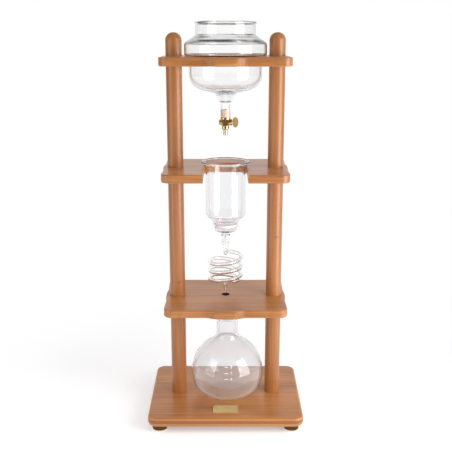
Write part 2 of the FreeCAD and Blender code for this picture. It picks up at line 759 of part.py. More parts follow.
def build_posts():
    radius = mm.post_diameter / 2
    insert = mm.insert_diameter / 2 + mm.insert_play
    cap = ((insert, 0), (radius, 0), (radius, mm.cap_height, radius - mm.cap_flat / 2),
           (0, mm.cap_height), (0, mm.insert_length), (insert, mm.insert_length))
    members = (
        ("lower_post", "lower_inserts", BASE_TOP, post_corners(LOWER_POST)),
        ("middle_post", "middle_inserts", LOWER_SHELF_TOP, post_corners(MIDDLE_POST)),
        ("upper_post", "upper_inserts", MIDDLE_SHELF_TOP, post_corners(UPPER_POST)),
        ("post_cap", "cap_inserts", TOP_SHELF_TOP, cap),
    )
    for name, insert_name, height, corners in members:
        for side, x in SIDES:
            keep(turned(f"{name}_{side}", corners, x, 0, height), f"{name}_{side}")
        group(insert_name, [
            ring(f"{name}_insert_{side}", mm.insert_diameter, STUD_HOLE, mm.insert_length,
                 x=x, z=height)
            for side, x in SIDES
        ])


def build_studs():
    radius, chamfer = mm.stud_diameter / 2, mm.stud_chamfer
    length = mm.stud_grip + mm.shelf_thickness + mm.stud_reach
    corners = ((0, 0), (radius - chamfer, 0), (radius, chamfer), (radius, length - chamfer),
               (radius - chamfer, length), (0, length))
    for level, shelf_height in (("lower", LOWER_SHELF), ("middle", MIDDLE_SHELF),
                                ("top", TOP_SHELF)):
        group(f"{level}_studs", [
            turned(f"{level}_stud_{side}", corners, x, 0, shelf_height - mm.stud_grip)
            for side, x in SIDES
        ])


def hexagon(across_flats):
    half = across_flats / 2
    corner = half / cosine(as_size(30))
    return ((corner, 0), (corner / 2, half), (-corner / 2, half),
            (-corner, 0), (-corner / 2, -half), (corner / 2, -half))


def base_bolt(name, x, z):
    """A hexagon-headed bolt, head down."""
    body = new_body(name)
    head = new_sketch(body, "XY_Plane", f"{name}_head")
    draw_outline(head, hexagon(mm.bolt_head))
    pad(body, head, mm.bolt_head_height)
    length = (mm.bolt_head_height + mm.washer_thickness + mm.base_thickness - mm.bolt_pocket
              + mm.stud_reach)
    radius, chamfer = mm.stud_diameter / 2, mm.stud_chamfer
    shank = new_sketch(body, "XZ_Plane", f"{name}_shank")
    draw_outline(shank, ((0, chamfer), (radius, chamfer), (radius, length - chamfer),
                         (radius - chamfer, length), (0, length)))
    spin(body, shank)
    place(body, x, 0, z)
    return body


def build_base_bolts():
    washer_height = mm.foot_height + mm.bolt_pocket - mm.washer_thickness
    group("base_bolts", [
        base_bolt(f"base_bolt_{side}", x, washer_height - mm.bolt_head_height)
        for side, x in SIDES
    ])
    group("base_washers", [
        ring(f"base_washer_{side}", mm.washer_diameter, STUD_HOLE, mm.washer_thickness,
             x=x, z=washer_height)
        for side, x in SIDES
    ])


# ---------------------------------------------------------------- water vessel


def build_water_vessel():
    shelf_top = mm.stem_depth
    neck, stem = mm.vessel_neck / 2, mm.stem_diameter / 2
    side = VESSEL_SIDE
    bowl = mm.vessel_hole / 2 - mm.bowl_play
    rim = shelf_top + mm.vessel_height - mm.vessel_bead / 2
    vessel = blown("water_vessel", (
        (neck, rim),
        (neck, shelf_top + mm.neck_foot, mm.neck_curve),
        (side, shelf_top + mm.shoulder_height, mm.shoulder_curve),
        (side, shelf_top, mm.seat_curve),
        (bowl, shelf_top, mm.seat_inner_curve),
        (bowl, shelf_top - mm.bowl_depth, mm.bowl_curve),
        (mm.funnel_diameter / 2, shelf_top - mm.funnel_depth, mm.funnel_curve),
        (stem, shelf_top - mm.stem_top, mm.stem_curve),
        (stem, 0),
    ), mm.vessel_wall, mm.vessel_bead, (neck - mm.vessel_wall / 2, rim))
    place(vessel, z=STEM_END)
    keep(vessel, "water_vessel")


def build_bung():
    outside = mm.stem_diameter - mm.vessel_wall * 2 - mm.bung_play * 2
    inside = mm.shank_diameter + mm.bung_play * 2
    keep(ring("valve_bung", outside, inside, mm.bung_length, z=STEM_END), "valve_bung")


# ---------------------------------------------------------------- drip valve, about its plug's axis


def build_valve_body():
    """A tapered cock's body: flange and shank above the barrel, collar below, boss in front."""
    barrel, collar, shank = (size / 2 for size in (
        mm.barrel_diameter, mm.collar_diameter, mm.shank_diameter))
    flange = mm.barrel_diameter / 2 + mm.flange_width
    flange_top = barrel + mm.flange_height
    top = flange_top + mm.shank_length
    low = -(barrel + mm.collar_height)
    waist = mm.waist_diameter / 2
    body = new_body("valve_body")

    upright = new_sketch(body, "XZ_Plane", "valve_upright")
    draw_outline(upright, (
        (0, low), (collar, low, mm.collar_rounding), (collar, -barrel, mm.collar_rounding),
        (waist, -barrel + mm.waist_height), (waist, barrel), (flange, barrel),
        (flange, flange_top), (shank, flange_top), (shank, top), (0, top)))
    spin(body, upright)

    barrel_sketch = new_sketch(body, "XZ_Plane", "valve_barrel")
    draw_outline(barrel_sketch, (
        (-mm.barrel_left, 0), (mm.barrel_right, 0), (mm.barrel_right, barrel),
        (-mm.barrel_left, barrel)))
    spin(body, barrel_sketch, "H_Axis")

    boss = new_sketch(body, "XZ_Plane", "valve_boss")
    draw_circle(boss, 0, 0, mm.boss_diameter)
    pad(body, boss, mm.boss_reach)
    dish = new_sketch(body, "XZ_Plane", "valve_dish", mm.boss_reach - mm.boss_dish_depth)
    draw_circle(dish, 0, 0, mm.boss_dish)
    pocket(body, dish, mm.boss_dish_depth)

    plug_bore = new_sketch(body, "XZ_Plane", "valve_plug_bore")
    draw_outline(plug_bore, (
        (-mm.barrel_left, 0), (mm.barrel_right, 0), (mm.barrel_right, mm.plug_large / 2 + mm.plug_play),
        (-mm.barrel_left, mm.plug_small / 2 + mm.plug_play)))
    groove(body, plug_bore, "H_Axis")

    flow = new_sketch(body, "XZ_Plane", "valve_flow")
    socket, bore = mm.spout_diameter / 2 + mm.plug_play, mm.flow_bore / 2
    ledge = low + mm.spout_grip
    draw_outline(flow, (
        (0, low), (socket, low), (socket, ledge), (bore, ledge), (bore, top), (0, top)))
    groove(body, flow)
    place(body, z=PLUG_HEIGHT)
    keep(body, "valve_body")


def build_valve_spout():
    outer = mm.spout_diameter / 2
    length = mm.spout_length + mm.spout_grip
    corners = ((outer - mm.spout_wall, 0), (outer, 0, mm.spout_rounding), (outer, length),
               (outer - mm.spout_wall, length))
    spout = turned("valve_spout", corners,
                   z=PLUG_HEIGHT - mm.barrel_diameter / 2 - mm.collar_height - mm.spout_length)
    keep(spout, "valve_spout")


def build_valve_plug():
    """The tapered plug, bored across for the water; its tail holds washer and nut."""
    left, right = -mm.barrel_left, mm.barrel_right
    large, small, collar, tail, stem = (size / 2 for size in (
        mm.plug_large, mm.plug_small, mm.plug_collar, mm.plug_tail, mm.thumb_stem))
    collar_end = right + mm.plug_collar_length
    stem_end = collar_end - mm.thumb_grip
    stem_hole = stem + mm.plug_play
    body = new_body("valve_plug")
    section = new_sketch(body, "XZ_Plane", "plug_section")
    draw_outline(section, (
        (left - mm.tail_length, 0), (stem_end, 0), (stem_end, stem_hole), (collar_end, stem_hole),
        (collar_end, collar, mm.plug_collar_rounding), (right, collar), (right, large),
        (left, small), (left, tail), (left - mm.tail_length, tail)))
    spin(body, section, "H_Axis")
    crossing = new_sketch(body, "XZ_Plane", "plug_crossing")
    bore, reach = mm.flow_bore / 2, mm.barrel_diameter / 2
    draw_outline(crossing, ((0, -reach), (bore, -reach), (bore, reach), (0, reach)))
    groove(body, crossing)
    place(body, z=PLUG_HEIGHT)
    keep(body, "valve_plug")


def build_tail_washer():
    outer, inner = mm.tail_washer / 2, mm.plug_tail / 2 + mm.plug_play
    face = -mm.barrel_left
    back = face - mm.tail_washer_thickness
    body = new_body("valve_washer")
    section = new_sketch(body, "XZ_Plane", "tail_washer_section")
    draw_outline(section, ((back, inner), (face, inner), (face, outer), (back, outer)))
    spin(body, section, "H_Axis")
    place(body, z=PLUG_HEIGHT)
    keep(body, "valve_washer")


def build_valve_nut():
    """A cap nut: a hexagon, turned round at its outer end, with a blind hole for the tail."""
    start = mm.barrel_left + mm.tail_washer_thickness
    corner = mm.nut_width / 2 / cosine(as_size(30))
    body = new_body("valve_nut")
    outline = new_sketch(body, "YZ_Plane", "nut_outline", -(start + mm.nut_length))
    draw_outline(outline, hexagon(mm.nut_width))
    pad(body, outline, mm.nut_length)
    face = -(start + mm.nut_length)
    waste = new_sketch(body, "XZ_Plane", "nut_dome")
    over = corner + mm.nut_dome
    draw_outline(waste, (
        (face, corner - mm.nut_dome), (face + mm.nut_dome, corner), (face + mm.nut_dome, over),
        (face, over)))
    groove(body, waste, "H_Axis")
    tail_hole = new_sketch(body, "XZ_Plane", "nut_hole")
    radius = mm.plug_tail / 2 + mm.plug_play
    end = -(mm.barrel_left + mm.tail_length)
    draw_outline(tail_hole, ((end, 0), (-start, 0), (-start, radius), (end, radius)))
    groove(body, tail_hole, "H_Axis")
    place(body, z=PLUG_HEIGHT)
    keep(body, "valve_nut")


def build_valve_handle():
    """The oval thumb piece that turns the plug; it stands upright while the valve is open."""
    collar_end = mm.barrel_right + mm.plug_collar_length
    across, tall = mm.thumb_width / 2, mm.thumb_height / 2
    body = new_body("valve_handle")
    stem = new_sketch(body, "XZ_Plane", "thumb_stem")
    stem_start = collar_end - mm.thumb_grip
    radius = mm.thumb_stem / 2
    draw_outline(stem, (
        (stem_start, 0), (collar_end + across, 0), (collar_end + across, radius),
        (stem_start, radius)))
    spin(body, stem, "H_Axis")
    half = mm.thumb_thickness / 2
    oval = new_sketch(body, "XZ_Plane", "thumb_oval", -half)
    middle = collar_end + across
    drawing = Drawing(oval)
    ellipse = oval.addGeometry(Part.Ellipse(
        flat((middle, tall)), flat((middle + across, 0)), flat((middle, 0))), False)
    oval.exposeInternalGeometry(ellipse)
    tall_line, wide_line = ellipse + 1, ellipse + 2
    drawing.fix(ellipse, Drawing.CENTRE, middle, 0)
    drawing.rule("Vertical", tall_line)
    drawing.dimension("Distance", (tall_line,), mm.thumb_height)
    drawing.dimension("Distance", (wide_line,), mm.thumb_width)
    drawing.finish()
    pad(body, oval, mm.thumb_thickness)
    place(body, z=PLUG_HEIGHT)
    keep(body, "valve_handle")


# ---------------------------------------------------------------- brew chamber and filter


def cup_inside(depth):
    """The filter cup's inner radius at a depth below the middle shelf's top."""
    slope = sine(mm.cup_taper) / cosine(mm.cup_taper)
    return mm.cup_diameter / 2 - (depth - mm.cup_top) * slope - mm.chamber_wall / cosine(mm.cup_taper)


def build_brew_chamber():
    shelf_top = mm.outlet_end
    side = NOTCH_RADIUS - mm.chamber_gap
    flare_foot = shelf_top - (mm.chamber_gap - mm.notch_play) * FLARE_RISE
    cup = mm.cup_diameter / 2
    cup_foot = cup_inside(mm.cup_bottom) + mm.chamber_wall / cosine(mm.cup_taper)
    outlet = mm.outlet_diameter / 2
    rim, rim_height = NOTCH_RADIUS + mm.rim_overhang, shelf_top + FLARE_TOP
    half = mm.chamber_wall / 2
    bead_centre = (rim - cosine(mm.flare_angle) * half, rim_height + sine(mm.flare_angle) * half)
    chamber = blown("brew_chamber", (
        (rim, rim_height),
        (side, flare_foot, mm.flare_curve),
        (side, shelf_top - mm.chamber_side, mm.chamber_curve),
        (cup, shelf_top - mm.cup_top, mm.cup_top_curve),
        (cup_foot, shelf_top - mm.cup_bottom, mm.cup_curve),
        (outlet, shelf_top - mm.outlet_top, mm.outlet_curve),
        (outlet, 0),
    ), mm.chamber_wall, mm.chamber_bead, bead_centre)
    place(chamber, z=OUTLET_END)
    keep(chamber, "brew_chamber")


def build_filter():
    top = MIDDLE_SHELF_TOP - mm.filter_place
    radius = mm.filter_diameter / 2
    disc = turned("filter_disc", (
        (0, 0), (radius, 0), (radius, mm.filter_thickness), (0, mm.filter_thickness)),
        z=top - mm.filter_thickness)
    keep(disc, "filter_disc")
    lip, slack = mm.gasket_lip, mm.gasket_play
    lower = lip - slack
    upper = lower + slack + mm.filter_thickness + slack
    height = upper + lower
    clear = mm.gasket_play / cosine(mm.cup_taper)
    gasket_top = mm.filter_place - lip
    opening, groove_radius = radius - mm.gasket_overlap, radius + slack
    gasket = turned("filter_gasket", (
        (opening, 0), (cup_inside(gasket_top + height) - clear, 0),
        (cup_inside(gasket_top) - clear, height), (opening, height), (opening, upper),
        (groove_radius, upper), (groove_radius, lower), (opening, lower)),
        z=top + lip - height)
    keep(gasket, "filter_gasket")


# ---------------------------------------------------------------- cooling coil


class GlassTube:
    """A bent glass tube made as on a bench: each stretch goes on where the last one ended."""

    def __init__(self, place, heading, outside, wall):
        self.place = place
        self.heading = heading
        self.outside = outside
        self.wall = wall
        self.stretches = []
        self.length = 0

    def section(self):
        rims = [
            Part.Wire(Part.Circle(self.place, self.heading, radius).toShape())
            for radius in (self.outside / 2, self.outside / 2 - self.wall)
        ]
        return Part.makeFace(rims, "Part::FaceMakerBullseye")

    def straight(self, length):
        self.stretches.append(self.section().extrude(self.heading * length))
        self.place += self.heading * length
        self.length += length

    def bend(self, towards, radius, degrees):
        """Bends the tube from its heading towards a direction square to it."""
        towards = V(towards).normalize()
        centre = self.place + towards * radius
        axis = self.heading.cross(towards)
        self.stretches.append(self.section().revolve(centre, axis, degrees))
        turned_way = FreeCAD.Rotation(axis, degrees)
        self.place = centre + turned_way.multVec(towards * -radius)
        self.heading = turned_way.multVec(self.heading)
        self.length += radius * math.radians(degrees)


def coil_tube():
    """The tube from the socket's cone to the drawn tip, its places measured from the tip's end."""
    radius, half_pitch = mm.coil_radius.value, mm.coil_pitch.value / 2
    bend, lead_drop, tail_drop = mm.bend_radius.value, mm.lead_drop.value, mm.tail_drop.value
    top = COIL_HEIGHT.value - mm.socket_height.value - mm.socket_cone.value
    backwards = V(0, 1, 0)
    tube = GlassTube(V(0, 0, top), V(0, 0, -1), mm.tube_diameter.value, mm.tube_wall.value)
    tube.bend(backwards, bend, 90)
    # Out to the coil's right side, sinking as it goes, and forward to the level of the axis.
    lead = V(radius, 0, -lead_drop)
    tube.bend(lead, lead.Length / 2, 180)
    tube.straight(bend)
    # Half turns in front of and behind the axis, clockwise from above, each in a sloping plane.
    side = -1
    for _ in range(round(mm.half_turns.value)):
        across = V(side * 2 * radius, 0, -half_pitch)
        tube.bend(across, across.Length / 2, 180)
        side = -side
    # A last quarter to the rear, and a smaller half turn back to the axis.
    across = V(side * 2 * radius, 0, -half_pitch)
    tube.bend(across, across.Length / 2, 90)
    slope = math.atan2(half_pitch, 2 * radius)
    sideways = V(side * math.cos(slope), 0, -math.sin(slope))
    downwards = V(-side * math.sin(slope), 0, -math.cos(slope))
    last_bend_start = bend * (1 + math.sin(slope))
    tube.straight((last_bend_start + tail_drop * math.tan(slope)) / sideways.x * side)
    inwards = V(0, -tube.place.y, 0) + downwards * (tail_drop / math.cos(slope))
    tube.bend(inwards, inwards.Length / 2, 180)
    tube.bend(downwards, bend, 90 + math.degrees(slope))
    tube.straight(tube.place.z - mm.tip_length.value)
    return tube


def lathe(points):
    """A solid turned about the vertical from (radius, height) points."""
    corners = [V(radius, 0, height) for radius, height in points]
    outline = Part.makePolygon(corners + corners[:1])
    return Part.Face(outline).revolve(V(0, 0, 0), Z_AXIS, 360)


def build_cooling_coil():
    tube = coil_tube()
    outer = tube.outside / 2
    inner = outer - tube.wall
    tip_outer, tip_inner = mm.tip_diameter.value / 2, mm.tip_bore.value / 2
    tip = lathe(((tip_inner, 0), (tip_outer, 0), (outer, mm.tip_length.value),
                 (inner, mm.tip_length.value)))
    socket_bore = (mm.outlet_diameter / 2 + mm.sleeve_play * 2 + mm.sleeve_wall).value
    socket_outer = socket_bore + mm.socket_wall.value
    rim = COIL_HEIGHT.value
    cone_top = rim - mm.socket_height.value
    cone_foot = cone_top - mm.socket_cone.value
    socket = lathe(((inner, cone_foot), (outer, cone_foot), (socket_outer, cone_top),
                    (socket_outer, rim), (socket_bore, rim), (socket_bore, cone_top)))
    glass = tube.stretches[0].multiFuse(tube.stretches[1:] + [socket, tip])
    expected = math.pi * (outer ** 2 - inner ** 2) * tube.length + socket.Volume + tip.Volume
    if abs(glass.Volume / expected - 1) > 0.01:
        raise ValueError("the coil's glass doesn't measure its section times its length")
    coil = doc.addObject("Part::Feature", "cooling_coil")
    coil.Shape = glass.Solids[0]
    place(coil, z=SOCKET_RIM - COIL_HEIGHT)
    keep(coil, "cooling_coil")


def build_coil_sleeve():
    """The soft sleeve between outlet and socket, with a lip on the socket's rim."""
    inner = mm.outlet_diameter / 2 + mm.sleeve_play
    outer = inner + mm.sleeve_wall
    lip = outer + mm.sleeve_play + mm.socket_wall
    length = mm.socket_height
    sleeve = turned("coil_sleeve", (
        (inner, 0), (outer, 0), (outer, length), (lip, length), (lip, length + mm.sleeve_lip),
        (inner, length + mm.sleeve_lip)), z=SOCKET_RIM - length)
    keep(sleeve, "coil_sleeve")


# ---------------------------------------------------------------- flask


def build_flask():
    """A flat-bottomed ball flask. The ball rounds the corner in which two lines would meet that
    touch it where the curves of the foot and of the neck begin."""
    ball, centre, neck = mm.flask_diameter / 2, FLASK_CENTRE, mm.flask_neck / 2
    up, down = mm.flask_neck_turn, mm.flask_foot_turn
    spread, lean = (up + down) / 2, (up - down) / 2
    corner_x = ball * cosine(lean) / cosine(spread)
    corner_z = centre + ball * sine(lean) / cosine(spread)
    neck_foot = centre + (ball - neck * cosine(up)) / sine(up)
    bottom = (ball - centre * sine(down)) / cosine(down)
    rim = mm.flask_height - mm.flask_bead / 2
    flask = blown("flask", (
        (neck, rim),
        (neck, neck_foot, mm.flask_neck_curve),
        (corner_x, corner_z, ball),
        (bottom, 0, ball * mm.flask_foot_share),
        (0, 0),
    ), mm.flask_wall, mm.flask_bead, (neck - mm.flask_wall / 2, rim))
    place(flask, x=mm.flask_offset, z=BASE_TOP)
    keep(flask, "flask")


# ---------------------------------------------------------------- the whole tower


def check_model():
    """Stops if anything failed to build."""
    for thing in doc.Objects:
        if "Invalid" in thing.State or "Error" in thing.State:
            raise ValueError(f"{thing.Name} failed: {thing.State}")
    for node in nodes:
        shape = node.Shape
        if shape.isNull() or not shape.isValid() or not shape.Solids:
            raise ValueError(f"{node.Label} has no valid solid")


build_base_board()
build_feet()
build_name_plate()
build_shelves()
build_posts()
build_studs()
build_base_bolts()
build_water_vessel()
build_bung()
build_valve_body()
build_valve_spout()
build_valve_plug()
build_tail_washer()
build_valve_nut()
build_valve_handle()
build_brew_chamber()
build_filter()
build_cooling_coil()
build_coil_sleeve()
build_flask()

doc.recompute()
check_model()
os.makedirs("parts", exist_ok=True)
for node in nodes:
    node.Shape.exportStep(os.path.join("parts", f"{node.Label}.step"))
print(f"{len(nodes)} sub-parts written")
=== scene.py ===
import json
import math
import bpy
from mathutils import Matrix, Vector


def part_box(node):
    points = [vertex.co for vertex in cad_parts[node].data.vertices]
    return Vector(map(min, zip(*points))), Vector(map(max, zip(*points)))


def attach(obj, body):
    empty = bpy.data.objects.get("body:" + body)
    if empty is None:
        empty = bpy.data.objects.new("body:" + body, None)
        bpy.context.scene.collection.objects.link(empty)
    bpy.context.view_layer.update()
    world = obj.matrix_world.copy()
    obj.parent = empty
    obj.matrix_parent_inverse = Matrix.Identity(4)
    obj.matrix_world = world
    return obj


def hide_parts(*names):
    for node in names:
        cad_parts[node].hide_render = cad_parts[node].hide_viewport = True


bl_info = {
    "name": "Cold Drip Coffee Tower",
    "version": (1, 1, 0),
    "blender": (4, 5, 0),
    "location": "View3D > Sidebar > Drip Tower",
    "description": "Dresses the tower's frame in bamboo, brass, silicone and blown glass",
    "category": "Object",
}

from typing import NamedTuple

import bmesh
import bpy
from bpy.props import FloatProperty, FloatVectorProperty, IntProperty, PointerProperty
from mathutils import Euler, Matrix, Vector

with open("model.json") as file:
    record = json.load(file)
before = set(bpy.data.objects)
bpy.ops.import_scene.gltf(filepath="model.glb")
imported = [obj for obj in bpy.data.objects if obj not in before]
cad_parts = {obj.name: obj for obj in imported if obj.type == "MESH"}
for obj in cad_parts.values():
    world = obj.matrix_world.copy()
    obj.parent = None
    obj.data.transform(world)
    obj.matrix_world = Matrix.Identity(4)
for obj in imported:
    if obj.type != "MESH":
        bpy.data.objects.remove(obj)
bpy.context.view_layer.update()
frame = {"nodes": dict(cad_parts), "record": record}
NODES = frame["nodes"]
BEHAVIOUR = frame["record"]["behaviour"]
BODY_OF = {node: body for body, nodes in BEHAVIOUR["bodies"].items() for node in nodes}

MM = 0.001
WELD = 0.002 * MM
SHARP = math.radians(35)
QUARTER_TURN = math.radians(90)
FULL_TURN = math.tau
RIGHT, BACK, UP = (Vector(way) for way in ((1, 0, 0), (0, 1, 0), (0, 0, 1)))
WHITE = (1.0, 1.0, 1.0, 1.0)

BOARDS = ("base_board", "lower_shelf", "middle_shelf", "top_shelf")
POSTS = tuple(
    f"{place}_{side}"
    for place in ("lower_post", "middle_post", "upper_post", "post_cap")
    for side in ("left", "right")
)
FEET = tuple(f"foot_{place}_{side}" for place in ("front", "rear") for side in ("left", "right"))
INSERTS = ("lower_inserts", "middle_inserts", "upper_inserts", "cap_inserts")
STEEL_PIECES = (
    "lower_studs", "middle_studs", "top_studs", "base_bolts", "base_washers", "foot_screws",
)
POLISHED_VALVE = ("valve_body", "valve_plug", "valve_washer", "valve_nut")


class Noise(NamedTuple):
    """A noise: its features in a metre along each axis, and its detail."""

    stretch: tuple
    detail: float = 3.0


class Recipe(NamedTuple):
    """A moulded material: its two colours, its roughness and its grains in a metre."""

    first: tuple
    second: tuple
    roughness: float
    grain: float


# Wood. The noises' axes run along, across and through it.
FIBRE = Noise((7, 300, 300), 4.0)
HAIR = Noise((30, 1500, 1500), 2.0)
CLOUD = Noise((6, 20, 20), 2.0)
STREAK = Noise((3, 520, 520), 1.0)
DASH = Noise((60, 420, 420), 2.0)
FIBRE_WEIGHT, HAIR_WEIGHT, CLOUD_WEIGHT, STRIP_WEIGHT = 1.15, 0.6, 1.15, 0.20
NODE_WANDER = 4 * MM
MARK_WEIGHT = 0.72
HAIR_RELIEF = 0.5
SMOOTHER, ROUGHER = 0.05, 0.07
CANE_SHIFT, STRIP_SHIFT = 1.37, 41
WOOD_BUMP = (0.12, 0.1 * MM)
# Width over which the painted shade in the drip hole fades out.
HOLE_SHADE_EDGE = 0.3 * MM

# The base board's edge: painted shade across its upright face and painted highlights on its rounds, in
# shares of its thickness.
SHADED_BAND_HEIGHT = 0.60
SHADED_BAND_EDGE = (0.12, 0.20)
LIT_BAND_EDGE = (0.14, 0.24)
TOP_EDGE = (0.06, 0.01)

# Metal.
POLISHED = Noise((1260, 1260, 1260))
BRUSHED = Noise((270, 1980, 1980))
STAIN = Noise((70, 70, 70))
STAIN_SHADE = 0.78
BRASS_SWING = (0.75, 1.4)
BRASS_BUMP = (0.05, 0.05 * MM)
PLATE_METALLIC = 0.55
RIM_EDGE = 1.2 * MM
ZINC = Noise((300, 300, 300))
ZINC_COLOURS = ((0.55, 0.56, 0.57), (0.72, 0.72, 0.70))
ZINC_ROUGHNESS = (0.25, 0.42)

# Rubber, silicone and ceramic.
BLACK_RUBBER = Recipe((0.018, 0.016, 0.016), (0.035, 0.030, 0.030), 0.60, 900)
BEIGE_SILICONE = Recipe((0.700, 0.530, 0.410), (0.790, 0.620, 0.500), 0.50, 700)
CLEAR_SILICONE = Recipe((0.95, 0.95, 0.94), (0.99, 0.99, 0.98), 0.06, 200)
FIRED_CERAMIC = Recipe((0.92, 0.92, 0.91), (0.98, 0.98, 0.97), 0.80, 1500)
MOULDED_DETAIL = 4.0
MOULDED_SWING = (0.85, 1.15)
MOULDED_BUMP = (0.2, 0.05 * MM)
SILICONE_CLEARNESS, SILICONE_IOR = 0.97, 1.10
BUNG_GAP, BUNG_BITE, BUNG_OUTSIDE = 0.1 * MM, 0.03 * MM, 0.8

# Glass. A ring of painted dark reflection is a height and a half width.
VESSEL_RINGS = (
    (686.9 * MM, 1.2 * MM), (668.0 * MM, 0.9 * MM), (664.2 * MM, 1.0 * MM),
    (658.0 * MM, 2.6 * MM), (570.6 * MM, 0.9 * MM), (560.0 * MM, 0.8 * MM),
)
STROKES = Noise((26, 26, 260), 2.0)
DRAWN = Noise((16, 16, 5), 1.0)
GLASS_BUMP = (0.05, 0.4 * MM)
FACING_BLEND, EDGE_ON = 0.5, 0.98
RING_CORE = 0.3
WORN_ENAMEL = Noise((900, 900, 900))
ENAMEL_COLOURS = ((0.88, 0.88, 0.86), (0.96, 0.96, 0.95))
ENAMEL_ROUGHNESS = 0.35
DIGITS = ("6", "7", "8")

# Ramps, in which a value from the first number to the second becomes the third to the fourth.
SOFT = "SMOOTHSTEP"
NOISE_SPAN = (0.3, 0.7)
STREAK_RAMP = (0.56, 0.72, 0.0, 0.34, SOFT)
ROW_RAMP = (0.8 * MM, 3.4 * MM, 1.0, 0.0, SOFT)
DASH_RAMP = (0.50, 0.66, 0.0, 1.0, SOFT)
SEAM_RAMP = (0.485, 0.5, 0.0, 0.22, SOFT)
STAIN_RAMP = (0.35, 0.75, 0.0, 1.0)
STROKE_RAMP = (0.38, 0.58, 0.0, 1.0)
SIDE_RAMP = (0.62, 0.90, 0.0, 1.0, SOFT)
CEILING_RAMP = (0.22, 0.50, 0.0, 1.0, SOFT)
BEHIND_RAMP = (0.45, 0.90, 0.0, 1.0, SOFT)
OPEN_RAMP = (0.50, 0.90, 1.0, 0.0, SOFT)
FILL_SPAN = (0.05, 0.60)
FLOOR_RAMP = (0.30, 0.60, 0.0, 1.0, SOFT)

PAPER = (0.80, 0.80, 0.80, 1.0)
FLOOR_DROP = 0.1 * MM
FLOOR_SEGMENTS = 96


def colour(name, description, default):
    return FloatVectorProperty(
        name=name, description=description, subtype="COLOR", size=3, min=0.0, max=1.0,
        default=default,
    )


def length(name, description, default):
    return FloatProperty(
        name=name, description=description, unit="LENGTH", precision=4, min=0.0, default=default
    )


def share(name, description, default):
    return FloatProperty(
        name=name, description=description, subtype="FACTOR", min=0.0, max=1.0, default=default
    )


def number(name, description, default):
    return FloatProperty(name=name, description=description, min=0.0, default=default)


def angle(name, description, degrees):
    return FloatProperty(
        name=name, description=description, subtype="ANGLE", default=math.radians(degrees)
    )


class BambooFinish(bpy.types.PropertyGroup):
    """Caramelised bamboo, glued from narrow strips and lacquered."""

    light: colour("Light fibre", "Colour of the light fibres", (0.610, 0.265, 0.076))
    dark: colour("Dark fibre", "Colour of the dark fibres", (0.300, 0.096, 0.018))
    # Painted shade: the posts, of the same bamboo as the boards, are mixed this far towards the dark fibre
    # to look more shaded.
    deeper: share("Deeper posts", "How much darker than the boards the posts are", 0.36)
    # Painted shade across the base board's upright edge and painted highlights on its rounds, set as a
    # darker middle layer and paler outer layers.
    ply: share("Dark ply", "How much darker the base's middle layer is", 0.85)
    pale_ply: share("Pale ply", "How much lighter the base's outer layers are", 0.60)
    mark: colour("Node mark", "Colour of the dashes where the cane had a node", (0.130, 0.045, 0.015))
    # Painted shade in the drip hole: its wall is painted this near black out to the given radius from the
    # tower's axis.
    burnt: colour("Burnt wood", "Colour of the drilled wall of the drip hole", (0.016, 0.009, 0.006))
    strip: length("Strip", "Width of a glued strip", 9 * MM)
    layer: length("Layer", "Thickness of a glued layer", 60 * MM)
    node_spacing: length("Node spacing", "Length of cane between two rows of dashes", 0.24)
    burnt_radius: length("Burnt radius", "How far from the tower's axis the wood is burnt", 7.3 * MM)
    gloss: share("Roughness", "Roughness of the wood under the lacquer", 0.45)
    lacquer: share("Lacquer", "Weight of the lacquer", 0.45)
    lacquer_gloss: share("Lacquer roughness", "Roughness of the lacquer", 0.24)


class BrassFinish(bpy.types.PropertyGroup):
    """Brass of the feet, the valve and the plate."""

    warm: colour("Brass", "Polished brass", (0.800, 0.560, 0.230))
    pale: colour("Pale brass", "Brass of the drip spout", (0.780, 0.640, 0.480))
    plate: colour("Plate", "Brass of the plate", (0.950, 0.740, 0.330))
    # Painted shade: the feet's brass is this dark to stand in for the shade under the base and the dark
    # surroundings they mirror. Painted highlight: the rim colour, up to the rim's height, round their
    # lower end.
    aged: colour("Aged brass", "Brass of the feet", (0.130, 0.060, 0.030))
    rim: colour("Rim", "Worn brass round the feet's lower end", (0.900, 0.780, 0.560))
    rim_height: length("Rim's height", "How far up the feet are worn", 2.6 * MM)
    polish: share("Polished", "Roughness of polished brass", 0.14)
    satin: share("Satin", "Roughness of the thumb piece and the spout", 0.36)


class PlateShape(bpy.types.PropertyGroup):
    """Border and rounded edges of the bare brass plate."""

    border: length("Border", "Plate's edge to the groove", 2.0 * MM)
    groove: length("Groove", "Width of either wall of the groove", 0.45 * MM)
    groove_depth: length("Groove's depth", "How deep the groove is cut", 0.25 * MM)
    edge: length("Edge", "Rounding of the top edge", 0.3 * MM)
    edge_steps: IntProperty(name="Edge's steps", description="Faces across the edge", min=1, default=3)
    corner: length("Corner", "Rounding of the corners", 0.8 * MM)
    corner_steps: IntProperty(
        name="Corner's steps", description="Faces round a corner", min=1, default=5
    )


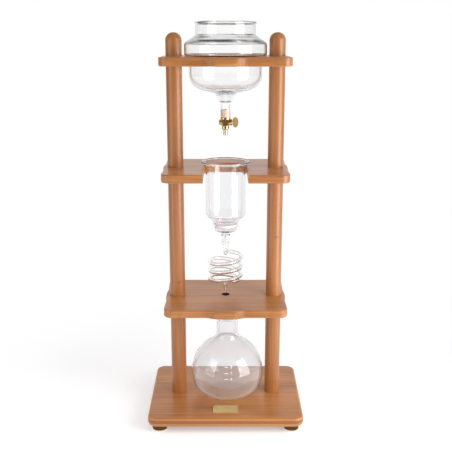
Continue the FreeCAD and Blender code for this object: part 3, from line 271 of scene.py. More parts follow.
class GlassFinish(bpy.types.PropertyGroup):
    """Borosilicate glass. Each piece has a colour for its wall and a painted shade for its wall seen edge
    on, which stands in for the dark surroundings the glass refracts there.
    """

    vessel: colour("Vessel", "Wall of the water vessel", (0.990, 0.992, 0.990))
    vessel_edge: colour("Vessel's edge", "Water vessel, edge on", (0.060, 0.065, 0.070))
    # Painted dark reflection in the vessel's rings.
    ring: colour("Ring", "Water vessel where its glass bends sharply", (0.130, 0.140, 0.160))
    chamber: colour("Chamber", "Wall of the brew chamber", (0.940, 0.943, 0.950))
    chamber_edge: colour("Chamber's edge", "Brew chamber, edge on", (0.420, 0.430, 0.450))
    coil: colour("Coil", "Wall of the cooling coil", (0.990, 0.990, 0.988))
    coil_edge: colour("Coil's edge", "Cooling coil, edge on", (0.700, 0.680, 0.660))
    flask: colour("Flask", "Wall of the flask", (0.930, 0.938, 0.942))
    flask_edge: colour("Flask's edge", "Flask, edge on", (0.420, 0.420, 0.415))
    haze: share("Haze", "How milky the flask's wall is", 0.075)
    edge_start: share("Edge start", "Where the edge's colour starts, from face on to edge on", 0.62)
    ior: FloatProperty(name="IOR", description="Refractive index", min=1.0, max=2.0, default=1.47)
    steps: IntProperty(name="Steps", description="Faces round a blown piece", min=24, max=256, default=128)


class MarksLayout(bpy.types.PropertyGroup):
    """White enamel dashes and digits on the front of the flask."""

    ball_centre: length("Ball's centre", "Flask's bottom to the centre of its ball", 42.8 * MM)
    lowest: length("Lowest mark", "Ball's centre to the lowest mark", 11.3 * MM)
    spacing: length("Spacing", "From one mark to the next", 9.9 * MM)
    dash_length: length("Dash", "Length of a dash", 6.2 * MM)
    dash_width: length("Dash's width", "Width of a dash", 1.1 * MM)
    dash_steps: IntProperty(name="Dash's steps", description="Faces along a dash", min=1, default=6)
    dash_shift: length("Dash's shift", "Flask's axis to a dash on its left", 1.7 * MM)
    digit_size: length("Digit", "Size of a digit", 6.4 * MM)
    digit_shift: length("Digit's shift", "Flask's axis to a digit on its right", 7.0 * MM)
    proud: length("Proud", "How far the enamel stands out", 0.04 * MM)
    thickness: length("Thickness", "Thickness of the enamel", 0.08 * MM)


class StudioLayout(bpy.types.PropertyGroup):
    """Camera, lamps, surroundings and floor."""

    camera_place: FloatVectorProperty(
        name="Camera", description="Place of the camera", subtype="TRANSLATION", size=3,
        default=(0.00078, -1.2159, 0.66444),
    )
    camera_pitch: angle("Pitch", "How far the camera looks down", 14.724)
    camera_lens: number("Lens", "Focal length on a 36 mm sensor", 57.32)
    top_fill: number("Top fill", "Strength of the soft light from above", 0.72)
    side_fill: number("Side fill", "Strength of the soft light from the sides", 0.04)
    lamp_colour: colour("Lamp colour", "Colour of both lamps", (0.970, 0.960, 1.000))
    key_power: number("Key", "Power of the lamp on the right, in watts", 11.0)
    side_power: number("Side", "Power of the lamp on the left, in watts", 3.6)
    lamp_bearing: angle("Bearing", "From the front to either lamp", 56)
    lamp_distance: length("Lamp distance", "Tower's axis to the lamps", 0.95)
    lamp_width: length("Lamp width", "Width of a lamp", 0.60)
    lamp_height: length("Lamp height", "Height of a lamp, which starts at the floor", 1.0)
    dark_mirrored: share("Dark, mirrored", "Dark surroundings as metal and lacquer mirror them", 0.10)
    dark_sides: share("Dark sides", "Brightness of the sides seen through glass", 0.42)
    dark_ceiling: share("Dark ceiling", "Brightness of the ceiling seen through glass", 0.05)
    floor_lift: share("Floor's lift", "How much brighter the floor looks than it is lit", 0.33)
    floor_radius: length("Floor", "Radius of the floor", 3.0)


class TowerSettings(bpy.types.PropertyGroup):
    """All settings of the tower's scene."""

    bamboo: PointerProperty(name="Bamboo", type=BambooFinish)
    brass: PointerProperty(name="Brass", type=BrassFinish)
    plate: PointerProperty(name="Plate", type=PlateShape)
    glass: PointerProperty(name="Glass", type=GlassFinish)
    marks: PointerProperty(name="Marks", type=MarksLayout)
    studio: PointerProperty(name="Studio", type=StudioLayout)


def settings():
    return bpy.context.scene.drip_tower


class Graph:
    """Adds nodes to a tree and joins them."""

    def __init__(self, tree):
        self.tree = tree

    def feed(self, node, inputs):
        for name, value in inputs.items():
            if isinstance(value, bpy.types.NodeSocket):
                self.tree.links.new(value, node.inputs[name])
            else:
                node.inputs[name].default_value = value

    def add(self, kind, inputs=None, **looks):
        node = self.tree.nodes.new(kind)
        for name, value in looks.items():
            setattr(node, name, value)
        self.feed(node, inputs or {})
        return node

    def math(self, operation, first, second=0.0):
        return self.add("ShaderNodeMath", {0: first, 1: second}, operation=operation).outputs[0]

    def vector(self, operation, first, second=(0.0, 0.0, 0.0)):
        inputs = {0: first, 1: second}
        return self.add("ShaderNodeVectorMath", inputs, operation=operation).outputs[0]

    def length(self, place):
        return self.add("ShaderNodeVectorMath", {0: place}, operation="LENGTH").outputs["Value"]

    def parts(self, place):
        return self.add("ShaderNodeSeparateXYZ", {0: place}).outputs

    def away(self, value, middle):
        """How far a value is from a middle one."""
        return self.math("ABSOLUTE", self.math("SUBTRACT", value, middle))

    def spread(self, value, low, high, to_low, to_high, curve="LINEAR"):
        """value from low to high becomes to_low to to_high."""
        inputs = {0: value, 1: low, 2: high, 3: to_low, 4: to_high}
        return self.add("ShaderNodeMapRange", inputs, interpolation_type=curve).outputs[0]

    def choose(self, switch, off, on):
        """off where switch is 0, and on where it is 1."""
        return self.spread(switch, 0.0, 1.0, off, on)

    def noise(self, place, noise):
        stretched = self.vector("MULTIPLY", place, noise.stretch)
        inputs = {"Vector": stretched, "Scale": 1.0, "Detail": noise.detail}
        return self.add("ShaderNodeTexNoise", inputs).outputs[0]

    def swing(self, pattern, weight):
        """A pattern from 0 to 1 as a weighted swing about nothing."""
        return self.math("MULTIPLY", self.math("SUBTRACT", pattern, 0.5), weight)

    def mix(self, share_of_second, first, second):
        node = self.add("ShaderNodeMix", data_type="RGBA")
        for name, value in ((0, share_of_second), (6, first), (7, second)):
            whole = isinstance(value, (float, bpy.types.NodeSocket))
            self.feed(node, {name: value if whole else (*value[:3], 1.0)})
        return node.outputs[2]

    def object_place(self, location=(0.0, 0.0, 0.0), rotation=(0.0, 0.0, 0.0)):
        place = self.add("ShaderNodeTexCoord").outputs["Object"]
        inputs = {"Vector": place, "Location": location, "Rotation": rotation}
        return self.add("ShaderNodeMapping", inputs).outputs[0]

    def bump(self, height, strength, distance):
        inputs = {"Height": height, "Strength": strength, "Distance": distance}
        return self.add("ShaderNodeBump", inputs).outputs[0]


def surface(name, dress, **sockets):
    """A material of that name: its Principled shader gets the sockets, and dress adds the pattern."""
    found = bpy.data.materials.get(name)
    if found:
        return found
    made = bpy.data.materials.new(name)
    made.use_nodes = True
    shader = made.node_tree.nodes["Principled BSDF"]
    for socket, value in sockets.items():
        shader.inputs[socket.replace("_", " ")].default_value = value
    dress(Graph(made.node_tree), shader)
    return made


def fibre_tone(graph, place, own, chance):
    """The fibres, the hairs between them, and how light the wood is, from 0 to 1."""
    fibre = graph.noise(own, FIBRE)
    hair = graph.noise(own, HAIR)
    cloud = graph.noise(place, CLOUD)
    tone = 0.5
    for pattern, weight in (
        (fibre, FIBRE_WEIGHT), (hair, HAIR_WEIGHT), (cloud, CLOUD_WEIGHT), (chance, STRIP_WEIGHT),
    ):
        tone = graph.math("ADD", tone, graph.swing(pattern, weight))
    return fibre, hair, tone


def node_dashes(graph, own, fibre, shown):
    """Rows of dashes, one row at each node of the cane, which wander with the fibres."""
    look = settings().bamboo
    along = graph.parts(own)[0]
    to_node = graph.math("PINGPONG", graph.math("DIVIDE", along, look.node_spacing), 0.5)
    to_node = graph.math("MULTIPLY", to_node, look.node_spacing)
    row = graph.spread(graph.math("ADD", to_node, graph.swing(fibre, NODE_WANDER)), *ROW_RAMP)
    dash = graph.spread(graph.noise(own, DASH), *DASH_RAMP)
    mark = graph.math("MULTIPLY", graph.math("MULTIPLY", row, dash), shown)
    return graph.math("MULTIPLY", mark, MARK_WEIGHT)


def bamboo_grain():
    """The node group that turns a place along, across and through the wood into its looks.
    Dashes is 1 where the strips show the rows of dashes of their nodes."""
    name = "Bamboo grain"
    if name in bpy.data.node_groups:
        return bpy.data.node_groups[name]
    look = settings().bamboo
    tree = bpy.data.node_groups.new(name, "ShaderNodeTree")
    for socket, way, kind in (
        ("Place", "INPUT", "Vector"), ("Dashes", "INPUT", "Float"), ("Color", "OUTPUT", "Color"),
        ("Roughness", "OUTPUT", "Float"), ("Relief", "OUTPUT", "Float"),
    ):
        tree.interface.new_socket(socket, in_out=way, socket_type=f"NodeSocket{kind}")
    graph = Graph(tree)
    given = graph.add("NodeGroupInput").outputs
    place = given["Place"]
    cut = graph.vector("MULTIPLY", place, (0, 1 / look.strip, 1 / look.layer))
    strips = graph.vector("ADD", cut, (0, 0.5, 0.5))
    which = graph.vector("FLOOR", strips)
    chance = graph.add("ShaderNodeTexWhiteNoise", {"Vector": which}, noise_dimensions="3D").outputs
    own = graph.vector("ADD", place, chance["Color"])

    fibre, hair, tone = fibre_tone(graph, place, own, chance["Value"])
    streak = graph.spread(graph.noise(own, STREAK), *STREAK_RAMP)
    mark = node_dashes(graph, own, fibre, given["Dashes"])
    seam = graph.spread(graph.math("PINGPONG", graph.parts(strips)[1], 0.5), *SEAM_RAMP)

    wood = graph.mix(tone, look.dark, look.light)
    for pattern, tint in ((streak, look.dark), (mark, look.mark), (seam, look.dark)):
        wood = graph.mix(pattern, wood, tint)
    rough = graph.spread(fibre, *NOISE_SPAN, look.gloss - SMOOTHER, look.gloss + ROUGHER)
    raised = graph.math("ADD", fibre, graph.math("MULTIPLY", hair, HAIR_RELIEF))
    relief = graph.math("SUBTRACT", raised, mark)
    graph.add("NodeGroupOutput", {"Color": wood, "Roughness": rough, "Relief": relief})
    return tree


def painted_edge_bands(graph, tint, low, high):
    """Painted light and shade on the base board's edge: a band of painted shade across its upright face,
    between painted highlights on the round-over above and on the lower edge, kept off the top face.
    """
    look = settings().bamboo
    thickness = high.z - low.z
    height = graph.parts(graph.object_place())[2]
    away = graph.away(height, low.z + SHADED_BAND_HEIGHT * thickness)
    dark = graph.spread(away, *(edge * thickness for edge in SHADED_BAND_EDGE), look.ply, 0.0, SOFT)
    pale = graph.spread(away, *(edge * thickness for edge in LIT_BAND_EDGE), 0.0, look.pale_ply)
    below = graph.spread(height, *(high.z - edge * thickness for edge in TOP_EDGE), 1.0, 0.0)
    tint = graph.mix(graph.math("MULTIPLY", pale, below), tint, look.light)
    return graph.mix(dark, tint, look.dark)


def shade_drip_hole(graph, tint):
    """Painted shade: the drip hole's drilled wall, round the tower's axis, is painted near black, as deep
    shade in the hole.
    """
    look = settings().bamboo
    out = graph.length(graph.vector("MULTIPLY", graph.object_place(), (1, 1, 0)))
    burnt = graph.spread(out, look.burnt_radius, look.burnt_radius + HOLE_SHADE_EDGE, 1.0, 0.0)
    return graph.mix(burnt, tint, look.burnt)


def bamboo(node):
    """Bamboo whose grain runs along a board's length or up a post, cut from a cane of its own."""
    look = settings().bamboo
    low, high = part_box(node)
    upright = node in POSTS
    turn = Euler((0.0, QUARTER_TURN if upright else 0.0, 0.0))
    order = (BOARDS + POSTS).index(node)
    place = -(turn.to_matrix() @ ((low + high) / 2))
    place += Vector((CANE_SHIFT, STRIP_SHIFT * look.strip, 0.0)) * order

    def dress(graph, shader):
        inputs = {"Place": graph.object_place(tuple(place), tuple(turn)), "Dashes": float(upright)}
        grain = graph.add("ShaderNodeGroup", node_tree=bamboo_grain())
        graph.feed(grain, inputs)
        tint = grain.outputs["Color"]
        # Painted shade on the posts.
        if upright:
            tint = graph.mix(look.deeper, tint, look.dark)
        # Painted light and shade on the base board's edge.
        if node == "base_board":
            tint = painted_edge_bands(graph, tint, low, high)
        # Painted shade in the drip hole.
        if node == "lower_shelf":
            tint = shade_drip_hole(graph, tint)
        relief = graph.bump(grain.outputs["Relief"], *WOOD_BUMP)
        rough = grain.outputs["Roughness"]
        graph.feed(shader, {"Base Color": tint, "Roughness": rough, "Normal": relief})

    return surface(
        f"bamboo_{node}", dress, Coat_Weight=look.lacquer, Coat_Roughness=look.lacquer_gloss
    )


def brass(name, tint, roughness, marks=POLISHED, metallic=1.0, worn_and_glinting=False):
    """Brass with faint polishing marks. The feet also get a painted highlight round their lower end."""
    look = settings().brass

    def dress(graph, shader):
        place = graph.object_place()
        lines = graph.noise(place, marks)
        stain = graph.spread(graph.noise(place, STAIN), *STAIN_RAMP)
        metal = graph.mix(stain, tint, tuple(STAIN_SHADE * part for part in tint))
        # Painted highlight round the lower end of the feet.
        if worn_and_glinting:
            top = look.rim_height + RIM_EDGE
            glint = graph.spread(graph.parts(place)[2], look.rim_height, top, 1.0, 0.0)
            metal = graph.mix(glint, metal, look.rim)
        rough = graph.spread(lines, *NOISE_SPAN, *(swing * roughness for swing in BRASS_SWING))
        relief = graph.bump(lines, *BRASS_BUMP)
        graph.feed(shader, {"Base Color": metal, "Roughness": rough, "Normal": relief})

    return surface(name, dress, Metallic=metallic)


def steel():
    """Zinc-plated steel of the fasteners."""

    def dress(graph, shader):
        cloud = graph.noise(graph.object_place(), ZINC)
        rough = graph.spread(cloud, *NOISE_SPAN, *ZINC_ROUGHNESS)
        graph.feed(shader, {"Base Color": graph.mix(cloud, *ZINC_COLOURS), "Roughness": rough})

    return surface("zinc_steel", dress, Metallic=1.0)


def moulded(name, recipe, **sockets):
    """Rubber, silicone or fired ceramic: two close colours, a fine grain and its relief."""

    def dress(graph, shader):
        cloud = graph.noise(graph.object_place(), Noise((recipe.grain,) * 3, MOULDED_DETAIL))
        tint = graph.mix(cloud, recipe.first, recipe.second)
        swings = (swing * recipe.roughness for swing in MOULDED_SWING)
        rough = graph.spread(cloud, *NOISE_SPAN, *swings)
        relief = graph.bump(cloud, *MOULDED_BUMP)
        graph.feed(shader, {"Base Color": tint, "Roughness": rough, "Normal": relief})

    return surface(name, dress, **sockets)


def clear_silicone():
    return moulded(
        "clear_silicone", CLEAR_SILICONE, Transmission_Weight=SILICONE_CLEARNESS, IOR=SILICONE_IOR
    )


def clear_glass(name, wall, edge_shade, haze=0.0, rings=()):
    """Clear glass with painted shade where its wall is seen edge on, standing in for the dark surroundings
    it refracts there, and with painted dark reflections in rings of a given height and half width, broken
    into strokes, where a sharp bend of the wall would gather them."""
    look = settings().glass

    def dress(graph, shader):
        facing = graph.add("ShaderNodeLayerWeight", {"Blend": FACING_BLEND}).outputs["Facing"]
        # Painted shade where the wall is seen edge on.
        edge = graph.spread(facing, look.edge_start, EDGE_ON, 0.0, 1.0, SOFT)
        tint = graph.mix(edge, wall, edge_shade)
        place = graph.object_place()
        broken = graph.spread(graph.noise(place, STROKES), *STROKE_RAMP)
        height = graph.parts(place)[2]
        # Painted dark reflections in broken rings round the vessel.
        for middle, half_width in rings:
            away = graph.away(height, middle)
            ring = graph.spread(away, RING_CORE * half_width, half_width, 1.0, 0.0, SOFT)
            tint = graph.mix(graph.math("MULTIPLY", ring, broken), tint, look.ring)
        relief = graph.bump(graph.noise(place, DRAWN), *GLASS_BUMP)
        graph.feed(shader, {"Base Color": tint, "Normal": relief})

    return surface(name, dress, Roughness=0.0, IOR=look.ior, Transmission_Weight=1.0 - haze)


def enamel():
    """Fired white enamel of the flask's marks."""

    def dress(graph, shader):
        worn_and_glinting = graph.noise(graph.object_place(), WORN_ENAMEL)
        graph.feed(shader, {"Base Color": graph.mix(worn_and_glinting, *ENAMEL_COLOURS)})

    return surface("white_enamel", dress, Roughness=ENAMEL_ROUGHNESS)


def smooth_rounds():
    """The node tree that joins a node's loose triangles and shades its rounds smooth, edges crisp."""
    name = "Smooth rounds"
    if name in bpy.data.node_groups:
        return bpy.data.node_groups[name]
    tree = bpy.data.node_groups.new(name, "GeometryNodeTree")
    for way in ("INPUT", "OUTPUT"):
        tree.interface.new_socket("Geometry", in_out=way, socket_type="NodeSocketGeometry")
    graph = Graph(tree)
    shape = graph.add("NodeGroupInput").outputs[0]
    inputs = {"Geometry": shape, "Distance": WELD}
    joined = graph.add("GeometryNodeMergeByDistance", inputs).outputs[0]
    inputs = {"Geometry": joined, "Shade Smooth": True}
    smooth = graph.add("GeometryNodeSetShadeSmooth", inputs, domain="FACE").outputs[0]
    bend = graph.add("GeometryNodeInputMeshEdgeAngle").outputs[0]
    crisp = graph.math("GREATER_THAN", bend, SHARP)
    inputs = {"Geometry": smooth, "Selection": crisp, "Shade Smooth": False}
    done = graph.add("GeometryNodeSetShadeSmooth", inputs, domain="EDGE").outputs[0]
    graph.add("NodeGroupOutput", {0: done})
    return tree


def weigh_normals(thing):
    weights = thing.modifiers.new("Flat faces stay flat", "WEIGHTED_NORMAL")
    weights.keep_sharp = True


def finish_node(node, material):
    """A node of the frame keeps its shape and gets its material and a smooth shading."""
    thing = NODES[node]
    slot = thing.material_slots[0]
    slot.link = "OBJECT"
    slot.material = material
    thing.modifiers.new("Smooth rounds", "NODES").node_group = smooth_rounds()
    weigh_normals(thing)


def let_light_through(thing):
    """Glass takes no light from what stands behind it."""
    thing.visible_shadow = False
    thing.visible_diffuse = False


def show(thing):
    bpy.context.scene.collection.objects.link(thing)


def object_of(work, name, material):
    """Ends the work on a bmesh: its mesh becomes an object of the scene."""
    mesh = bpy.data.meshes.new(name)
    work.to_mesh(mesh)
    work.free()
    mesh.materials.append(material)
    made = bpy.data.objects.new(name, mesh)
    show(made)
    return made


def put_piece(work, name, material, node):
    """Makes a bmesh a smoothly shaded piece with the given material, on the body of a node."""
    for face in work.faces:
        face.smooth = True
    for edge in work.edges:
        edge.smooth = edge.calc_face_angle(0.0) < SHARP
    piece = object_of(work, name, material)
    weigh_normals(piece)
    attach(piece, BODY_OF[node])
    return piece


def stand_in(work, name, material, node):
    """Makes a bmesh a piece that takes a node's place."""
    piece = put_piece(work, name, material, node)
    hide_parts(node)
    return piece


def merged_copy(node):
    """A bmesh of a node's mesh, its triangles joined."""
    work = bmesh.new()
    work.from_mesh(NODES[node].data)
    bmesh.ops.remove_doubles(work, verts=work.verts, dist=WELD)
    return work


def face_all(work, way):
    """Turns every face of an open sheet to look one way."""
    bmesh.ops.recalc_face_normals(work, faces=work.faces)
    for face in work.faces:
        if face.normal.dot(way) < 0:
            face.normal_flip()


def blow(node, name, material):
    """A blown glass: the node's own section, spun round its axis."""
    low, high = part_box(node)
    axis = Vector(((low.x + high.x) / 2, 0.0, 0.0))
    work = merged_copy(node)
    for normal, only_section in ((RIGHT, False), (BACK, True)):
        geometry = work.verts[:] + work.edges[:] + work.faces[:]
        bmesh.ops.bisect_plane(
            work, geom=geometry, dist=WELD, plane_co=axis, plane_no=normal,
            clear_inner=True, clear_outer=only_section,
        )
    bmesh.ops.spin(
        work, geom=work.verts[:] + work.edges[:], cent=axis, axis=UP, angle=FULL_TURN,
        steps=settings().glass.steps, use_merge=True, use_normal_flip=False, use_duplicate=False,
    )
    bmesh.ops.remove_doubles(work, verts=work.verts, dist=WELD)
    bmesh.ops.recalc_face_normals(work, faces=work.faces)
    let_light_through(stand_in(work, name, material, node))


class DRIP_TOWER_OT_bamboo(bpy.types.Operator):
    """Give the boards, posts and caps their bamboo"""

    bl_idname = "drip_tower.bamboo"
    bl_label = "Bamboo Frame"
    bl_options = {"REGISTER", "UNDO"}

    def execute(self, context):
        for node in BOARDS + POSTS:
            finish_node(node, bamboo(node))
        return {"FINISHED"}


class DRIP_TOWER_OT_feet(bpy.types.Operator):
    """Polish the brass feet and blacken their washers"""

    bl_idname = "drip_tower.feet"
    bl_label = "Feet"
    bl_options = {"REGISTER", "UNDO"}

    def execute(self, context):
        look = settings().brass
        for node in FEET:
            # Dark feet of painted shade, with a painted highlight round their lower end.
            finish_node(node, brass("shaded_foot_brass", look.aged, look.polish, worn_and_glinting=True))
        finish_node("foot_washers", moulded("black_rubber", BLACK_RUBBER))
        return {"FINISHED"}


class DRIP_TOWER_OT_fasteners(bpy.types.Operator):
    """Plate the studs, bolts, washers and screws, and finish the threaded inserts"""

    bl_idname = "drip_tower.fasteners"
    bl_label = "Fasteners"
    bl_options = {"REGISTER", "UNDO"}

    def execute(self, context):
        look = settings().brass
        for node in STEEL_PIECES:
            finish_node(node, steel())
        for node in INSERTS:
            finish_node(node, brass("turned_brass", look.warm, look.polish))
        return {"FINISHED"}


class DRIP_TOWER_OT_name_plate(bpy.types.Operator):
    """Make the bare brass plate with its engraved border"""

    bl_idname = "drip_tower.name_plate"
    bl_label = "Name Plate"
    bl_options = {"REGISTER", "UNDO"}

    def execute(self, context):
        look, plate = settings().brass, settings().plate
        low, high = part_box("name_plate")
        size = high - low
        work = bmesh.new()
        block = Matrix.Translation((low + high) / 2) @ Matrix.Diagonal((*size, 1.0))
        bmesh.ops.create_cube(work, size=1.0, matrix=block)
        top = max(work.faces, key=lambda face: face.calc_center_median().z)
        rim = top.edges[:]
        for width, rise in (
            (plate.border, 0.0), (plate.groove, -plate.groove_depth),
            (plate.groove, plate.groove_depth),
        ):
            bmesh.ops.inset_region(work, faces=[top], thickness=width, depth=rise, use_even_offset=True)
        upright = [
            edge for edge in work.edges
            if abs(edge.verts[0].co.z - edge.verts[1].co.z) > size.z / 2
        ]
        for edges, offset, steps in (
            (rim, plate.edge, plate.edge_steps), (upright, plate.corner, plate.corner_steps),
        ):
            bmesh.ops.bevel(
                work, geom=[edge for edge in edges if edge.is_valid], offset=offset,
                segments=steps, profile=0.5, affect="EDGES", material=-1,
            )
        bare = brass("plate_brass", look.plate, look.polish, BRUSHED, PLATE_METALLIC)
        stand_in(work, "plate", bare, "name_plate")
        return {"FINISHED"}


class DRIP_TOWER_OT_water_vessel(bpy.types.Operator):
    """Blow the water vessel and press the bung into its stem"""

    bl_idname = "drip_tower.water_vessel"
    bl_label = "Water Vessel"
    bl_options = {"REGISTER", "UNDO"}

    def execute(self, context):
        look = settings().glass
        glass = clear_glass("vessel_glass", look.vessel, look.vessel_edge, rings=VESSEL_RINGS)
        blow("water_vessel", "vessel", glass)
        self.press_bung()
        return {"FINISHED"}

    @staticmethod
    def press_bung():
        """The soft bung bears on the glass all round, so its outside is swollen to the stem."""
        low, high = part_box("valve_bung")
        radius = (high.x - low.x) / 2
        work = merged_copy("valve_bung")
        for vert in work.verts:
            out = vert.co.xy.length
            if out > BUNG_OUTSIDE * radius:
                vert.co.xy *= (radius + BUNG_GAP + BUNG_BITE) / out
        stand_in(work, "bung", moulded("beige_silicone", BEIGE_SILICONE), "valve_bung")


class DRIP_TOWER_OT_valve(bpy.types.Operator):
    """Finish the drip valve: polished body and nut, satin thumb piece, pale spout"""

    bl_idname = "drip_tower.valve"
    bl_label = "Drip Valve"
    bl_options = {"REGISTER", "UNDO"}

    def execute(self, context):
        look = settings().brass
        for node in POLISHED_VALVE:
            finish_node(node, brass("turned_brass", look.warm, look.polish))
        finish_node("valve_handle", brass("satin_brass", look.warm, look.satin))
        finish_node("valve_spout", brass("pale_brass", look.pale, look.satin))
        return {"FINISHED"}


class DRIP_TOWER_OT_brew_chamber(bpy.types.Operator):
    """Blow the brew chamber and finish the filter in its cup"""

    bl_idname = "drip_tower.brew_chamber"
    bl_label = "Brew Chamber"
    bl_options = {"REGISTER", "UNDO"}

    def execute(self, context):
        look = settings().glass
        glass = clear_glass("chamber_glass", look.chamber, look.chamber_edge)
        blow("brew_chamber", "chamber", glass)
        finish_node("filter_disc", moulded("fired_ceramic", FIRED_CERAMIC))
        finish_node("filter_gasket", clear_silicone())
        let_light_through(NODES["filter_gasket"])
        return {"FINISHED"}


class DRIP_TOWER_OT_cooling_coil(bpy.types.Operator):
    """Draw the cooling coil's glass and slip the sleeve over its socket"""

    bl_idname = "drip_tower.cooling_coil"
    bl_label = "Cooling Coil"
    bl_options = {"REGISTER", "UNDO"}

    def execute(self, context):
        look = settings().glass
        glass = clear_glass("coil_glass", look.coil, look.coil_edge)
        let_light_through(stand_in(merged_copy("cooling_coil"), "coil", glass, "cooling_coil"))
        finish_node("coil_sleeve", clear_silicone())
        let_light_through(NODES["coil_sleeve"])
        return {"FINISHED"}


class DRIP_TOWER_OT_flask(bpy.types.Operator):
    """Blow the flask and fire the enamel marks on its front"""

    bl_idname = "drip_tower.flask"
    bl_label = "Flask"
    bl_options = {"REGISTER", "UNDO"}

    def execute(self, context):
        look = settings().glass
        glass = clear_glass("flask_glass", look.flask, look.flask_edge, look.haze)
        blow("flask", "flask_bulb", glass)
        self.fire_marks()
        return {"FINISHED"}

    def fire_marks(self):
        """Each mark is laid out flat and pressed straight back on to the front of the ball."""
        marks = settings().marks
        low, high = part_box("flask")
        ball = Vector(((low.x + high.x) / 2, 0.0, low.z + marks.ball_centre))
        radius = (high.x - low.x) / 2 + marks.proud
        work = bmesh.new()
        for step, digit in enumerate(DIGITS):
            height = ball.z + marks.lowest + step * marks.spacing
            middle = Matrix.Translation((ball.x, 0.0, height))
            upright = middle @ Matrix.Rotation(QUARTER_TURN, 4, "X")
            self.add_dash(work, upright @ Matrix.Translation((-marks.dash_shift, 0.0, 0.0)))
            self.add_digit(work, digit, upright @ Matrix.Translation((marks.digit_shift, 0.0, 0.0)))
        for vert in work.verts:
            offset = vert.co - ball
            vert.co.y = -math.sqrt(radius**2 - offset.x**2 - offset.z**2)
        bmesh.ops.remove_doubles(work, verts=work.verts, dist=WELD)
        # The sheet is the enamel's back, so it looks at the glass.
        face_all(work, BACK)
        bmesh.ops.solidify(work, geom=work.faces[:], thickness=marks.thickness)
        put_piece(work, "flask_marks", enamel(), "flask")

    @staticmethod
    def add_dash(work, place):
        marks = settings().marks
        size = Matrix.Diagonal((marks.dash_length, marks.dash_width, 1.0, 1.0))
        bmesh.ops.create_grid(
            work, x_segments=marks.dash_steps, y_segments=1, size=0.5, matrix=place @ size
        )

    @staticmethod
    def add_digit(work, digit, place):
        letter = bpy.data.curves.new("digit", "FONT")
        letter.body = digit
        letter.size = settings().marks.digit_size
        letter.align_x = "CENTER"
        letter.align_y = "CENTER"
        drawn = bpy.data.objects.new("digit", letter)
        outline = bpy.data.meshes.new_from_object(drawn)
        outline.transform(place)
        work.from_mesh(outline)
        bpy.data.objects.remove(drawn)
        bpy.data.curves.remove(letter)
        bpy.data.meshes.remove(outline)


def rays(graph):
    """Whether the ray comes from the camera, off a glossy surface or through glass."""
    path = graph.add("ShaderNodeLightPath").outputs
    through = path["Is Transmission Ray"]
    mirrored = graph.math("MAXIMUM", graph.math("SUBTRACT", path["Is Glossy Ray"], through), 0.0)
    return path["Is Camera Ray"], mirrored, through


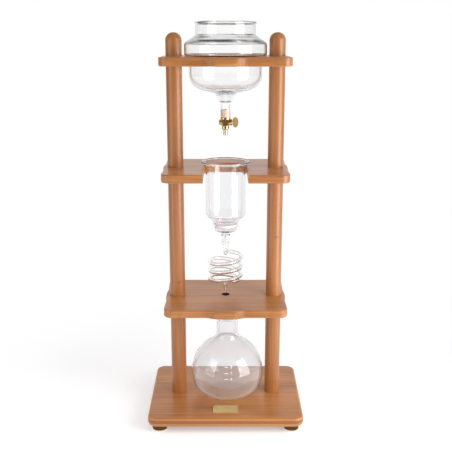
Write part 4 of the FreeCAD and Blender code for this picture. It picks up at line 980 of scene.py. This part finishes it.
class DRIP_TOWER_OT_studio(bpy.types.Operator):
    """Set the white floor, the soft lamps, the white surroundings and the camera"""

    bl_idname = "drip_tower.studio"
    bl_label = "Studio"
    bl_options = {"REGISTER", "UNDO"}

    def execute(self, context):
        self.set_camera()
        self.set_lamps()
        self.set_world()
        self.lay_floor()
        context.scene.view_settings.view_transform = "Standard"
        return {"FINISHED"}

    @staticmethod
    def set_camera():
        look = settings().studio
        lens = bpy.data.cameras.new("camera")
        lens.lens = look.camera_lens
        camera = bpy.data.objects.new("camera", lens)
        camera.location = look.camera_place
        camera.rotation_euler = (QUARTER_TURN - look.camera_pitch, 0.0, 0.0)
        show(camera)
        bpy.context.scene.camera = camera

    @staticmethod
    def set_lamps():
        """Two upright soft boxes, which stand on the floor in front, right and left."""
        look = settings().studio
        for name, bearing, power in (
            ("key_lamp", look.lamp_bearing, look.key_power),
            ("side_lamp", -look.lamp_bearing, look.side_power),
        ):
            panel = bpy.data.lights.new(name, "AREA")
            panel.shape = "RECTANGLE"
            panel.size = look.lamp_width
            panel.size_y = look.lamp_height
            panel.energy = power
            panel.color = look.lamp_colour
            lamp = bpy.data.objects.new(name, panel)
            out = Vector((math.sin(bearing), -math.cos(bearing), 0.0))
            lamp.location = out * look.lamp_distance
            lamp.location.z = look.lamp_height / 2
            lamp.rotation_euler = (-out).to_track_quat("-Z", "Y").to_euler()
            lamp.visible_camera = False
            show(lamp)

    @staticmethod
    def set_world():
        """White all round for the camera. Through glass the sides and the ceiling are darker, as
        black cards beside a glass make them, and metal mirrors white only from behind."""
        look = settings().studio
        world = bpy.data.worlds.new("white_studio")
        world.use_nodes = True
        bpy.context.scene.world = world
        graph = Graph(world.node_tree)
        across, back, up = graph.parts(graph.add("ShaderNodeTexCoord").outputs["Generated"])
        side = graph.spread(graph.math("ABSOLUTE", across), *SIDE_RAMP)
        ceiling = graph.spread(up, *CEILING_RAMP)
        white = graph.math(
            "MULTIPLY", graph.spread(back, *BEHIND_RAMP), graph.spread(up, *OPEN_RAMP)
        )

        fill = graph.spread(up, *FILL_SPAN, look.side_fill, look.top_fill, SOFT)
        mirror = graph.choose(white, look.dark_mirrored, 1.0)
        glass = graph.choose(ceiling, graph.choose(side, 1.0, look.dark_sides), look.dark_ceiling)
        camera_ray, mirrored, through = rays(graph)
        strength = fill
        for ray, seen in ((mirrored, mirror), (through, glass), (camera_ray, 1.0)):
            strength = graph.choose(ray, strength, seen)
        background = world.node_tree.nodes["Background"]
        graph.feed(background, {"Color": WHITE, "Strength": strength})

    def lay_floor(self):
        look = settings().studio
        work = bmesh.new()
        ground = Matrix.Translation(-FLOOR_DROP * UP)
        bmesh.ops.create_circle(
            work, cap_ends=True, radius=look.floor_radius, segments=FLOOR_SEGMENTS, matrix=ground
        )
        face_all(work, UP)
        object_of(work, "floor", self.floor_material())

    @staticmethod
    def floor_material():
        """White paper: lit and shaded near the tower, plain white further out."""
        look = settings().studio
        made = bpy.data.materials.new("white_floor")
        made.use_nodes = True
        tree = made.node_tree
        tree.nodes.remove(tree.nodes["Principled BSDF"])
        graph = Graph(tree)
        camera_ray, mirrored, through = rays(graph)
        seen = graph.math("MAXIMUM", camera_ray, graph.math("MAXIMUM", mirrored, through))
        paper = graph.add("ShaderNodeBsdfDiffuse", {"Color": PAPER}).outputs[0]
        lifted = graph.math("MULTIPLY", seen, look.floor_lift)
        lift = graph.add("ShaderNodeEmission", {"Strength": lifted}).outputs[0]
        near = graph.add("ShaderNodeAddShader", {0: paper, 1: lift}).outputs[0]
        far = graph.add("ShaderNodeEmission", {"Strength": 1.0}).outputs[0]
        fade = graph.spread(graph.length(graph.object_place()), *FLOOR_RAMP)
        inputs = {0: graph.math("MULTIPLY", fade, seen), 1: near, 2: far}
        whole = graph.add("ShaderNodeMixShader", inputs).outputs[0]
        graph.feed(tree.nodes["Material Output"], {"Surface": whole})
        return made


PIECE_OPERATORS = (
    DRIP_TOWER_OT_bamboo,
    DRIP_TOWER_OT_feet,
    DRIP_TOWER_OT_fasteners,
    DRIP_TOWER_OT_name_plate,
    DRIP_TOWER_OT_water_vessel,
    DRIP_TOWER_OT_valve,
    DRIP_TOWER_OT_brew_chamber,
    DRIP_TOWER_OT_cooling_coil,
    DRIP_TOWER_OT_flask,
    DRIP_TOWER_OT_studio,
)


class DRIP_TOWER_PT_panel(bpy.types.Panel):
    """Settings and steps of the tower's scene"""

    bl_idname = "DRIP_TOWER_PT_panel"
    bl_label = "Cold Drip Coffee Tower"
    bl_space_type = "VIEW_3D"
    bl_region_type = "UI"
    bl_category = "Drip Tower"

    def draw(self, context):
        tower = context.scene.drip_tower
        for group_name in TowerSettings.__annotations__:
            group = getattr(tower, group_name)
            box = self.layout.box()
            box.label(text=tower.bl_rna.properties[group_name].name)
            for name in type(group).__annotations__:
                box.prop(group, name)
        for operator in PIECE_OPERATORS:
            self.layout.operator(operator.bl_idname)


CLASSES = (
    BambooFinish, BrassFinish, PlateShape, GlassFinish, MarksLayout, StudioLayout, TowerSettings,
    *PIECE_OPERATORS, DRIP_TOWER_PT_panel,
)


def register():
    for each in CLASSES:
        bpy.utils.register_class(each)
    bpy.types.Scene.drip_tower = PointerProperty(type=TowerSettings)


def unregister():
    del bpy.types.Scene.drip_tower
    for each in reversed(CLASSES):
        bpy.utils.unregister_class(each)


def main():
    register()
    for operator in PIECE_OPERATORS:
        getattr(bpy.ops.drip_tower, operator.bl_idname.split(".")[1])()


if __name__ == "__main__":
    main()
